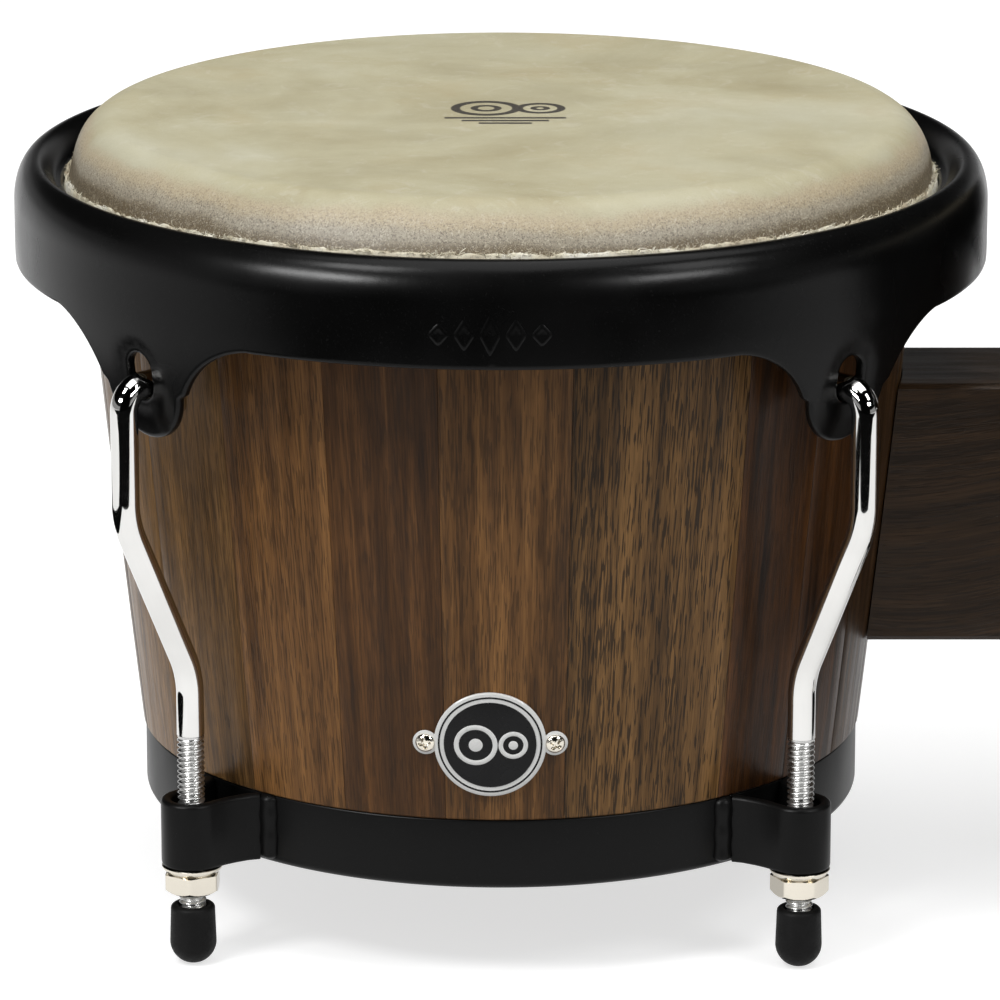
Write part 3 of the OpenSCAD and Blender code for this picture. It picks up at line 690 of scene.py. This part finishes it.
def make_rim(drum):
    """The revolved crest, and under it a sheet for each quarter, with one slotted ear.

    A sheet is meshed flat, wrapped round the drum, and closed with rounded edges."""
    shape = Shape()
    steps = 90
    around = full_turn(4 * steps) + FRONT + HARDWARE_TURN
    shape.grid(lathe(crest_outline(drum), around), wrap_columns=True)
    quarter = math.radians(90) * drum.rim_r / 2
    right = spaced(ear_edge(), 0.7)
    last = right[-1][0]
    run = [np.array((x, BAND_BOTTOM)) for x in np.linspace(last, quarter, 34)[1:]]
    right = np.vstack([right, run])
    left = right[::-1] * [-1, 1]
    lower = np.vstack([left[:-1], right])
    slot = round_slot()
    turns = [0.0, 35.0, 62.0, 90.0]
    lower_in = lower + inward(lower, False) * EDGE
    lower_in[0], lower_in[-1] = lower[0] + [0, EDGE], lower[-1] + [0, EDGE]
    slot_in = slot - inward(slot, True) * EDGE
    columns = np.linspace(-quarter, quarter, steps + 1)
    sides = np.linspace(BAND_BOTTOM + EDGE, JOIN_Z, 5)
    top = [(x, JOIN_Z) for x in columns[::-1]]
    wall_right = [(quarter, z) for z in sides[1:-1]]
    wall_left = [(-quarter, z) for z in sides[::-1][1:-1]]
    outer_loop = np.vstack([lower_in, wall_right, top, wall_left])
    lower_guard = (lower_in + inward(lower, False) * 0.5)[1:-1]
    slot_guard = slot_in - inward(slot, True) * 0.5
    near_edge = np.vstack([outer_loop, slot_in, lower_guard, slot_guard])
    cloud = list(near_edge)
    for z in np.arange(106, JOIN_Z - 0.5, 1.5):
        for x in columns:
            point = np.array((x, z))
            if abs(x) < quarter - 0.5 and inside(point, outer_loop) and not inside(point, slot_in):
                if np.min(np.hypot(*(near_edge - point).T)) > 0.8:
                    cloud.append(point)
    count, hole = len(outer_loop), len(slot_in)
    edges = [(i, (i + 1) % count) for i in range(count)]
    edges += [(count + i, count + (i + 1) % hole) for i in range(hole)]
    guard = count + hole
    edges += [(guard + i, guard + i + 1) for i in range(len(lower_guard) - 1)]
    guard += len(lower_guard)
    edges += [(guard + i, guard + (i + 1) % hole) for i in range(hole)]
    made = delaunay_2d_cdt([tuple(p) for p in cloud], edges, [], 0, 1e-5)
    flat = np.array([tuple(v) for v in made[0]])
    tris = [f for f in made[2] if in_sheet(flat[list(f)].mean(axis=0), outer_loop, slot_in)]
    for corner in range(4):
        turn = math.radians(FRONT + 45 + 90 * corner + HARDWARE_TURN)
        for depth, flip in ((0.0, False), (RIM_T, True)):
            points = wrap(drum, flat, depth + 0 * flat[:, 0], turn)
            shape.add(points, [list(f)[::-1] if flip else list(f) for f in tris])
        for loop, closed in ((lower, False), (slot, True)):
            sign = -1 if closed else 1
            normal = inward(loop, closed) * sign
            if not closed:
                normal[0] = normal[-1] = (0, 1)
            rows = []
            for depth_from, direction in ((0.0, 1), (RIM_T, -1)):
                for t in (turns if direction > 0 else turns[::-1]):
                    inset = EDGE * (1 - math.sin(math.radians(t)))
                    drop = EDGE * (1 - math.cos(math.radians(t)))
                    depth = depth_from + direction * drop + 0 * loop[:, 0]
                    rows.append(wrap(drum, loop + normal * inset, depth, turn))
            shape.grid(np.array(rows), wrap_columns=closed)
    on_drum(drum, shape, "rim_sheet", RIM_BLACK, drum.rim_body, "black_steel", 50, 0.02, node="rim")


def in_sheet(point, outer_loop, slot_in):
    return inside(point, outer_loop) and not inside(point, slot_in)


def round_slot():
    """The hook's slot as a closed loop, upright, with round ends."""
    low, high = SLOT_LOW + SLOT_HALF, SLOT_TOP - SLOT_HALF
    loop = arc(0, high, SLOT_HALF, SLOT_HALF, 0, 180, 14)
    loop += arc(0, low, SLOT_HALF, SLOT_HALF, 180, 360, 14)
    return spaced(loop + [loop[0]], 0.8)[:-1]


def wrap(drum, flat, depth, turn):
    """Places points of the flat sheet (across, height) on the rim, depth below its outer face."""
    x, z = flat[:, 0], flat[:, 1]
    near = ease((35.0 - np.abs(x)) / 15) * ease((133.0 - z) / 2.5)
    flat_turn = np.arcsin(np.clip(x / drum.rim_r, -0.9, 0.9))
    angle = np.where(near > 0, near * flat_turn + (1 - near) * x / drum.rim_r, x / drum.rim_r)
    centre_z = (SLOT_LOW + SLOT_TOP) / 2
    reach = (SLOT_TOP - SLOT_LOW) / 2 - SLOT_HALF
    far = np.hypot(x, np.maximum(np.abs(z - centre_z) - reach, 0)) - SLOT_HALF
    boss = 0.45 * ease((4.5 - far) / 3.5)
    r = skirt_r(drum, z) - depth - boss
    return np.column_stack([r * np.cos(angle + turn), r * np.sin(angle + turn), z])


def make_rim_trim(drum):
    """A weld seam across the rim, and a raised row of lozenges on its front."""
    seam = Shape()
    turn = math.radians(FRONT + 128)
    path = [(r * math.cos(turn), r * math.sin(turn), z) for r, z in crest_outline(drum)[3:37]]
    seam.grid(sweep(path, circle_section(0.55, 8)), wrap_columns=True, caps=True)
    on_drum(drum, seam, "rim_weld", RIM_BLACK, drum.rim_body, "black_steel", 60)
    relief = Shape()
    for step in (-2, -1, 0, 1, 2):
        half_w, half_h = 2.5, 5.0 - 1.1 * abs(step)
        centre = -2.4 + step * 5.7
        rows = []
        for size, height in ((1.0, -0.2), (1.0, 0.05), (0.82, 0.2), (0.6, 0.21), (0.42, 0.1),
                             (0.02, 0.1)):
            w, h = half_w * size, half_h * size
            ring = round_corners([(w, 0), (0, h), (-w, 0), (0, -h)], 0.9 * size, 3, True)
            row = []
            for u, v in ring:
                a = math.radians(FRONT) + (centre + u) / drum.rim_r
                r = drum.rim_r + height
                row.append((r * math.cos(a), r * math.sin(a), 138.2 + v))
            rows.append(row)
        relief.grid(np.array(rows), wrap_columns=True, caps=True)
    on_drum(drum, relief, "rim_relief", RIM_BLACK, drum.rim_body, "black_steel", 35)


# ------------------------------------------------------------------ rods, tips and nuts

THREAD_TOP = 32.3


def thread_rows(low, high, radius, depth, around=36, per_turn=10, end_fade=1.5):
    """Rows of a rolled right-hand thread along +Z, fading out at its ends."""
    rows = []
    for z in np.arange(low, high + 1e-6, PITCH / per_turn):
        a = np.arange(around) * 2 * math.pi / around
        phase = (z / PITCH - a / (2 * math.pi)) % 1.0
        groove = 0.5 + 0.5 * np.cos(2 * math.pi * phase)
        fade = ease((z - low) / end_fade) * ease((high - z) / end_fade)
        r = radius - depth * groove * fade
        r = r - 0.8 * ease((low + 0.8 - z) / 0.8)
        rows.append(np.column_stack([r * np.cos(a), r * np.sin(a), 0 * a + z]))
    return np.array(rows)


def rod_path(drum):
    """Centre line of a rod above its thread: S bend outwards, then the hook over the ear."""
    slope, bend, offset, start = math.radians(25), 22.0, 18.4, 42.0
    arc_x, arc_z = bend * (1 - math.cos(slope)), bend * math.sin(slope)
    run = (offset - 2 * arc_x) / math.sin(slope)
    top = start + 2 * arc_z + run * math.cos(slope)
    low, high = drum.rod_low, drum.rod_low + offset
    hook_bend, hook_z = 5.2, 117.5
    span = 14.5                     # the inner leg is nearer the ear than the CAD's, behind its lobe
    path = [(low, z) for z in np.linspace(THREAD_TOP, start, 8)[:-1]]
    path += arc(low + bend, start, bend, bend, 180, 180 - 25, 14)
    path += [(low + arc_x + run * t * math.sin(slope), start + arc_z + run * t * math.cos(slope))
             for t in (0.25, 0.5, 0.75)]
    path += arc(high - bend, top, bend, bend, -25, 0, 14)
    path += [(high, z) for z in np.linspace(top, hook_z - hook_bend, 6)[1:-1]]
    path += arc(high - hook_bend, hook_z - hook_bend, hook_bend, hook_bend, 0, 90, 12)
    path += [(high - hook_bend - (span - 2 * hook_bend) * t, hook_z) for t in (0.33, 0.67)]
    path += arc(high - span + hook_bend, hook_z - hook_bend, hook_bend, hook_bend, 90, 180, 12)
    path += [(high - span, hook_z - hook_bend - d) for d in (0.8, 1.6)]
    return [(r, 0, z) for r, z in path]


def make_rods(drum):
    rod, screw = Shape(), Shape()
    path = rod_path(drum)
    section = circle_section(ROD_R, 32)
    rows = sweep(path, section)
    end = np.array(path[-1])
    tip = [end + (rows[-1] - end) * k + [0, 0, -d] for k, d in ((0.93, 0.5), (0.75, 0.8), (0.4, 0.85))]
    rows = np.concatenate([rows, np.array(tip)])
    rod.grid(rows, wrap_columns=True, caps=True)
    thread = thread_rows(drum.tip_bottom + 3.2, THREAD_TOP, ROD_R - 0.02, 0.66)
    screw.grid(thread + [drum.rod_low, 0, 0], wrap_columns=True, caps=True)
    body, slot, meshes = drum.rim_body, "rod_chrome", {}
    for key in CORNERS:
        for kind, shape, material in (("rod", rod, CHROME), ("rod_thread", screw, THREAD)):
            name = f"{drum.name}_{kind}_{key}"
            if kind in meshes:
                put(name, meshes[kind], body, drum.corner(key))
                continue
            piece = shape.make(name, material, body, slot, 60, 0, drum.corner(key))
            meshes[kind] = piece.data
            if kind == "rod":
                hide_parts(drum.name + "_tension_rods")


def at_corners(drum, shape, kind, material, body, slot, smooth, node):
    """One piece at each corner of a drum, of the same mesh; the first replaces the CAD node."""
    first = None
    for key in CORNERS:
        name = f"{drum.name}_{kind}_{key}"
        if first is None:
            first = shape.make(name, material, body, slot, smooth, 0, drum.corner(key))
            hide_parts(f"{drum.name}_{node}")
        else:
            put(name, first.data, body, drum.corner(key))


def make_tips(drum):
    low, high = drum.tip_bottom, drum.tip_top
    outline = [(0.3, low), (2.0, low)]
    outline += arc(0, low + 5, 5.4, 5.4, -64, 0, 12)
    outline += [(5.3, low + 8), (5.15, high - 1.4)]
    outline += arc(4.1, high - 1.0, 1.05, 1.0, 0, 90, 6)
    outline += [(ROD_R + 0.5, high), (ROD_R + 0.1, high - 0.5), (ROD_R + 0.1, low + 3), (0.3, low + 3)]
    points = lathe(outline, full_turn(40)) + [drum.rod_low, 0, 0]
    shape = Shape().grid(points, wrap_columns=True, caps=True)
    at_corners(drum, shape, "tip", RUBBER, drum.rim_body, "tip_rubber", 45, "rod_tips")


def nut_shape(af, low, top, flange_r, flange_h, bore):
    """Hexagon nut with a chamfered lower face and, at its top, a flared, dished base."""
    around = 144
    a = np.arange(around) * 2 * math.pi / around
    to_flat = (a + math.pi / 6) % (math.pi / 3) - math.pi / 6
    hexagon = af / 2 / np.cos(to_flat)
    hexagon = np.minimum(hexagon, af / 2 / math.cos(math.pi / 6) - 0.12)
    body_top = top - flange_h
    rows = []

    def ring(radius, z):
        r = np.broadcast_to(np.asarray(radius, float), (around,))
        rows.append(np.column_stack([r * np.cos(a), r * np.sin(a), 0 * a + z]))

    ring(bore, low + 0.5)
    ring(bore + 0.5, low)
    ring(af / 2 - 0.45, low)
    for z in np.linspace(0.0, 1.2, 9):
        ring(np.minimum(hexagon, af / 2 - 0.3 + z * 1.25), low + z)
    ring(hexagon, body_top - 0.15)
    ring(af / 2 - 0.25 + 0 * hexagon, body_top)
    for t in np.linspace(0.15, 1, 6):
        ring(af / 2 - 0.25 + (flange_r - af / 2 + 0.25) * t ** 0.7, body_top + (flange_h - 0.55) * t)
    ring(flange_r + 0.05, top - 0.4)
    ring(flange_r + 0.05, top - 0.15)
    ring(flange_r - 0.15, top)
    ring(bore + 0.5, top)
    ring(bore, top - 0.5)
    return Shape().grid(np.array(rows), wrap_rows=True, wrap_columns=True)


def make_nuts(drum):
    first = None
    for key in CORNERS:
        node = f"{drum.name}_nut_{key}"
        low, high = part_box(node)
        shape = nut_shape(12, low.z / MM, high.z / MM, 7.0, 1.8, ROD_R + 0.06)
        centre = ((low.x + high.x) / 2 / MM, (low.y + high.y) / 2 / MM, 0, drum.corner(key)[3] + 13)
        if first is None:
            first = shape.make(node + "_plated", NICKEL, node, "nut_nickel", 30, 0, centre)
            piece = first
        else:
            piece = put(node + "_plated", first.data, node, centre)
        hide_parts(node)


# ------------------------------------------------------------------ bottom ring and lugs

def make_ring(drum):
    r, h = drum.ring_r, drum.ring_h
    outline = [(r - 8.5, 0.6), (r - 8.1, 0.1), (r - 7.6, 0)]
    outline += arc(r - 2.2, 2.2, 2.2, 2.2, -90, 0, 8)
    outline += arc(r - 0.6, h - 0.6, 0.6, 0.6, 0, 90, 4)
    outline += arc(r - RING_T + 0.5, h - 0.5, 0.5, 0.5, 90, 180, 4)
    outline += [(r - RING_T, RING_T + 0.6), (r - RING_T - 0.6, RING_T)]
    outline += [(r - 8.0, RING_T), (r - 8.5, RING_T - 0.5)]
    shape = Shape().grid(lathe(outline, full_turn(288)), wrap_rows=True, wrap_columns=True)
    on_drum(drum, shape, "foot_ring", RING_BLACK, drum.shells, "black_steel", 40, node="bottom_ring")


def lug_path(drum):
    """Plan of a strap's centre line: foot against the ring, leg, loop round the rod, leg, foot."""
    half = RING_T / 2
    ring = drum.ring_r + half - 0.15
    loop = 4.6 + half
    leg_y = 8.2

    def on_ring(y):
        return (math.sqrt(ring * ring - y * y), y)

    side = [on_ring(8.6), (on_ring(leg_y)[0] + 1.2, leg_y - 0.3), (on_ring(leg_y)[0] + 2.4, leg_y - 0.9)]
    start = round_corners(side, 1.2, 5)
    bow = []
    joint = np.array(side[-1])
    touch = np.array((drum.rod_low - 0.6, loop))
    for t in np.linspace(0, 1, 8)[1:-1]:
        middle = joint + (touch - joint) * t
        bow.append(middle - np.array((0, 0.45 * math.sin(math.pi * t))))
    half_path = np.vstack([start, bow, arc(drum.rod_low, 0, loop, loop, 95, 0, 14)])
    other = half_path[::-1][1:] * [1, -1]
    return np.vstack([half_path, other])


def make_lugs(drum):
    """A strap bent round each rod, with a weld bead at each of its feet."""
    low, height, half = 1.0, 16.0, RING_T / 2
    section = round_corners([(-half, 0), (half, 0), (half, height), (-half, height)], 1.0, 5, True)
    plan = lug_path(drum)
    step = np.gradient(plan, axis=0)
    step /= np.linalg.norm(step, axis=1)[:, None]
    side = np.column_stack([step[:, 1], -step[:, 0]])
    rows = [[(p[0] + s * n[0], p[1] + s * n[1], low + z) for s, z in section]
            for p, n in zip(plan, side)]
    shape = Shape().grid(np.array(rows), wrap_columns=True, caps=True)
    for k in (-1, 1):
        y = 10.6
        x = math.sqrt(drum.ring_r ** 2 - y * y) - 0.3
        tilt = k * math.asin(y / drum.ring_r)
        bead = []
        for t in np.linspace(0, 1, 40):
            z = low + 0.5 + (height - 0.3) * t
            swell = 1 + 0.05 * math.sin(1.1 * z + k)
            swell *= math.sqrt(max(1 - max(t - 0.9, 0) ** 2 * 99, 0)) * math.sqrt(min(1, 0.3 + 12 * t))
            row = []
            for turn in np.linspace(0, 2 * math.pi, 25)[:-1]:
                out, side = 2.5 * swell * math.cos(turn), 2.5 * swell * math.sin(turn)
                row.append((x + out * math.cos(tilt) - side * math.sin(tilt),
                            k * y + out * math.sin(tilt) + side * math.cos(tilt), z))
            bead.append(row)
        shape.grid(np.array(bead), wrap_columns=True, caps=True)
    at_corners(drum, shape, "lug", RING_BLACK, drum.shells, "black_steel", 50, "lug_straps")


# ------------------------------------------------------------------ badge

BADGE_Z, BADGE_TURN, BADGE_R, SCREW_OFF = 36.1, -1.6, 12.7, 14.7


def on_shell(drum, across, z, height):
    """A point on the shell's outside, across mm from the badge's centre line."""
    r = drum.shell_r(z) + height
    a = math.radians(FRONT + BADGE_TURN) + across / drum.shell_r(BADGE_Z)
    return (r * math.cos(a), r * math.sin(a), z)


def circles(drum, cx, rings, around):
    """Rows of points, one for each (radius, height), round a centre on the shell."""
    return np.array([[on_shell(drum, cx + radius * math.cos(t), BADGE_Z + radius * math.sin(t), height)
                      for t in np.arange(around) * 2 * math.pi / around] for radius, height in rings])


def disc(drum, shape, cx, rings, around=72):
    shape.grid(circles(drum, cx, rings, around), wrap_columns=True, caps=True)


def make_badge(drum):
    plate, face = Shape(), Shape()
    disc(drum, plate, 0, [(12.6, 0.12), (BADGE_R, 0.3), (BADGE_R, 0.9), (BADGE_R - 0.25, 1.08),
                          (11.9, 1.1), (11.5, 1.1), (0.02, 1.1)])
    for k in (-1, 1):
        disc(drum, plate, k * SCREW_OFF,
             [(2.8, 0.12), (2.9, 0.25), (2.9, 0.7), (2.7, 0.8), (0.02, 0.8)], 32)
    on_drum(drum, plate, "badge_plate", WHITE, drum.shells, "badge_enamel", 35, node="badge")
    disc(drum, face, 0, [(11.75, 1.0), (11.75, 1.16), (11.4, 1.18), (11.35, 1.16), (11.35, 1.0)])
    disc(drum, face, 0, [(10.4, 1.0), (10.4, 1.2), (10.25, 1.24), (0.02, 1.26)])
    on_drum(drum, face, "badge_face", BLACK, drum.shells, "badge_enamel", 35)
    motif = Shape()
    for cx, r, width in ((-3.2, 4.9, 1.1), (5.2, 3.3, 1.0)):
        band = ((r, 1.2), (r, 1.42), (r - 0.15, 1.5), (r - width + 0.15, 1.5), (r - width, 1.42),
                (r - width, 1.2))
        motif.grid(circles(drum, cx, band, 64), wrap_rows=True, wrap_columns=True)
        disc(drum, motif, cx, [(r * 0.32, 1.2), (r * 0.32, 1.45), (r * 0.28, 1.5), (0.02, 1.5)], 32)
    on_drum(drum, motif, "badge_motif", WHITE, drum.shells, "badge_enamel", 35)


def make_badge_screws(drum):
    """Pan-head screws with a cross recess."""
    shape = Shape()
    steps = 41
    for k in (-1, 1):
        u, v = np.meshgrid(np.linspace(-1, 1, steps), np.linspace(-1, 1, steps))
        x, y = u * np.sqrt(1 - v * v / 2), v * np.sqrt(1 - u * u / 2)
        rho = np.hypot(x, y)
        dome = 1.25 - 0.55 * rho ** 2 - 0.35 * rho ** 6
        turn = math.radians(35 + 20 * k)
        p, q = x * math.cos(turn) + y * math.sin(turn), y * math.cos(turn) - x * math.sin(turn)
        arm = np.minimum(np.abs(p), np.abs(q))
        cut = ease((0.19 - arm) / 0.07) * ease((0.66 - rho) / 0.12)
        height = dome - 0.75 * cut
        rows = np.zeros((steps, steps, 3))
        for i in range(steps):
            for j in range(steps):
                rows[i, j] = on_shell(drum, k * SCREW_OFF + 2.2 * x[i, j], BADGE_Z + 2.2 * y[i, j],
                                      0.75 + height[i, j])
        shape.grid(rows)
        skirt = ((2.2, 1.1), (2.22, 0.95), (2.15, 0.8), (1.0, 0.75), (1.0, -7.0))
        shape.grid(circles(drum, k * SCREW_OFF, skirt, 40), wrap_columns=True)
    on_drum(drum, shape, "badge_screw_pair", NICKEL, drum.shells, "screw_nickel", 40,
            node="badge_screws")


# ------------------------------------------------------------------ centre block

def make_block(left, right):
    low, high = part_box("centre_block")
    half_w = (high.y - low.y) / 2 / MM
    z_low, z_high = low.z / MM, high.z / MM
    corners = [(-half_w, z_low), (half_w, z_low), (half_w, z_high), (-half_w, z_high)]
    section = round_corners(corners, 1.1, 5, True)
    section = spaced(np.vstack([section, section[:1]]), 1.6)[:-1]
    rows = []
    gap = 0.35
    for t in np.linspace(0, 1, 25):
        row = []
        for y, z in section:
            start = left.x + math.sqrt((left.shell_r(z - left.base) + gap) ** 2 - y * y)
            end = right.x - math.sqrt((right.shell_r(z - right.base) + gap) ** 2 - y * y)
            row.append((start + (end - start) * t, y, z))
        rows.append(row)
    points = np.array(rows)
    flat = points.reshape(-1, 3)
    sway = 2.2 * np.sin(flat[:, 0] / 24 + flat[:, 2] / 30) + 1.2 * np.sin(flat[:, 0] / 11 + 2)
    grain = np.column_stack([flat[:, 2] + sway, flat[:, 1], flat[:, 0] + 500]) * MM
    shape = Shape().grid(points, wrap_columns=True, caps=True, grain=grain, tone=0.5, red=0.35, pore=0.6)
    piece = shape.make("block_lacquered", BLOCK_WOOD, "shells", "block_wood", 35, 0)
    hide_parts("centre_block")


def make_bolts():
    """Two threaded studs through the block, their ends showing inside the shells."""
    low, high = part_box("block_bolts")
    radius = 4.0
    mid = (low.z + high.z) / 2 / MM
    reach = (high.z - low.z) / 2 / MM - radius
    shape = Shape()
    for k in (-1, 1):
        for end, way in ((low.x / MM, 1), (high.x / MM, -1)):
            thread = thread_rows(0, 24, radius - 0.05, 0.6)
            turned = np.stack([end + way * thread[..., 2], thread[..., 0],
                               mid + k * reach + way * thread[..., 1]], axis=2)
            shape.grid(turned, wrap_columns=True, caps=True)
        middle = [(low.x / MM + 23.5, 0, mid + k * reach), (high.x / MM - 23.5, 0, mid + k * reach)]
        shape.grid(sweep(middle, circle_section(radius - 0.05, 24)), wrap_columns=True, caps=True)
    piece = shape.make("block_stud_pair", STEEL, "shells", "plate_steel", 60, 0)
    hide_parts("block_bolts")


def give(node, material):
    """A CAD node whose shape is right keeps its mesh and gets a better material."""
    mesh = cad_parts[node].data
    mesh.materials.clear()
    mesh.materials.append(material)


# ------------------------------------------------------------------ studio

def area_light(name, place, target, size, power):
    data = bpy.data.lights.new(name, "AREA")
    data.shape = "RECTANGLE"
    data.size, data.size_y = size
    data.energy = power
    lamp = bpy.data.objects.new(name, data)
    bpy.context.scene.collection.objects.link(lamp)
    lamp.location = place
    direction = np.array(target, float) - np.array(place, float)
    lamp.rotation_euler = Vector(direction).to_track_quat("-Z", "Y").to_euler()
    lamp.visible_camera = False
    return lamp


def level(x0, x1, y0, y1, z):
    """Corners of a level rectangle."""
    return [(x0, y0, z), (x1, y0, z), (x1, y1, z), (x0, y1, z)]


def card(name, corners, material):
    """A flat stage piece, in metres."""
    mesh = bpy.data.meshes.new(name)
    mesh.from_pydata(corners, [], [[0, 1, 2, 3]])
    mesh.materials.append(material)
    piece = bpy.data.objects.new(name, mesh)
    bpy.context.scene.collection.objects.link(piece)
    return piece


def make_studio(drum):
    """Pale floor, soft lights, and black cards that only the gloss sees, for the chrome's stripes."""
    m = Material("studio_floor", Roughness=0.9, Specular_IOR_Level=0.1, Emission_Color=(1, 1, 1, 1),
                 Emission_Strength=0.67)
    spot = m.noise(m.place(), 6.0, 3.0)
    m.done(m.mix(m.band(spot, 0.3, 0.7), (0.56, 0.56, 0.56), (0.54, 0.54, 0.54)))
    floor = card("studio_floor", level(-9, 9, -9, 9, -0.0003), m.material)
    floor.visible_diffuse = False
    black = Material("studio_black_card", Roughness=1.0, Specular_IOR_Level=0.0)
    shade = black.noise(black.place(), 3.0)
    black.done(black.mix(shade, (0.002, 0.002, 0.002), (0.004, 0.004, 0.004)))
    flags = [
        card("flag_table_edge", level(-3, 3, -4, -0.42, 0.0005), black.material),
        card("flag_left", level(-0.5, -0.34, -0.42, 0.25, 0.0005), black.material),
        card("flag_ceiling", level(-9, 9, -9, 9, 2.0), black.material),
        card("flag_behind_camera", [(-2.2, -3, 0), (2.2, -3, 0), (2.2, -3, 2.2), (-2.2, -3, 2.2)],
             black.material),
    ]
    for flag in flags:
        flag.visible_camera = flag.visible_diffuse = False
        flag.visible_shadow = flag.visible_transmission = False
    world = bpy.data.worlds.new("studio")
    bpy.context.scene.world = world
    world.use_nodes = True
    background = world.node_tree.nodes["Background"]
    background.inputs["Color"].default_value = (1, 1, 1, 1)
    background.inputs["Strength"].default_value = 0.36
    middle = (drum.x * MM, 0, 0.1)
    area_light("key_left", (-0.9, -0.9, 1.6), middle, (0.5, 0.5), 15)
    area_light("fill_right", (1.1, -0.9, 1.5), middle, (0.6, 0.6), 8)
    area_light("top", (0.0, -0.1, 1.5), middle, (1.4, 1.2), 16)
    for name, place, power in (("sheen_left", (-1.05, -1.02, 0.73), 21),
                               ("sheen_right", (0.80, -1.07, 0.73), 8)):
        lamp = area_light(name, place, middle, (0.6, 0.2), power)
        lamp.visible_diffuse = False


def make_camera(drum):
    """The photo's angle: straight on to the larger drum, from a little above."""
    data = bpy.data.cameras.new("camera")
    data.sensor_width = 36
    data.lens = 226.08
    data.shift_x = -0.001
    data.clip_start, data.clip_end = 0.05, 60
    camera = bpy.data.objects.new("camera", data)
    bpy.context.scene.collection.objects.link(camera)
    tilt, distance, aim = math.radians(15.74), 1.5, (drum.base + 68.69) * MM
    camera.location = (drum.x * MM, -distance * math.cos(tilt), aim + distance * math.sin(tilt))
    camera.rotation_euler = (math.radians(90) - tilt, 0, 0)
    bpy.context.scene.camera = camera


hembra, macho = Drum("hembra", False), Drum("macho", True)
for drum in (hembra, macho):
    make_shell(drum)
    make_head(drum)
    make_tuck(drum)
    make_rim(drum)
    make_rim_trim(drum)
    make_rods(drum)
    make_tips(drum)
    make_nuts(drum)
    make_ring(drum)
    make_lugs(drum)
    make_badge(drum)
    make_badge_screws(drum)
    give(drum.name + "_backing_plate", STEEL)
    give(drum.name + "_flesh_hoop", STEEL)
make_block(hembra, macho)
make_bolts()
give("block_nuts", NICKEL)
make_studio(hembra)
make_camera(hembra)
bpy.context.scene.view_settings.view_transform = "Standard"
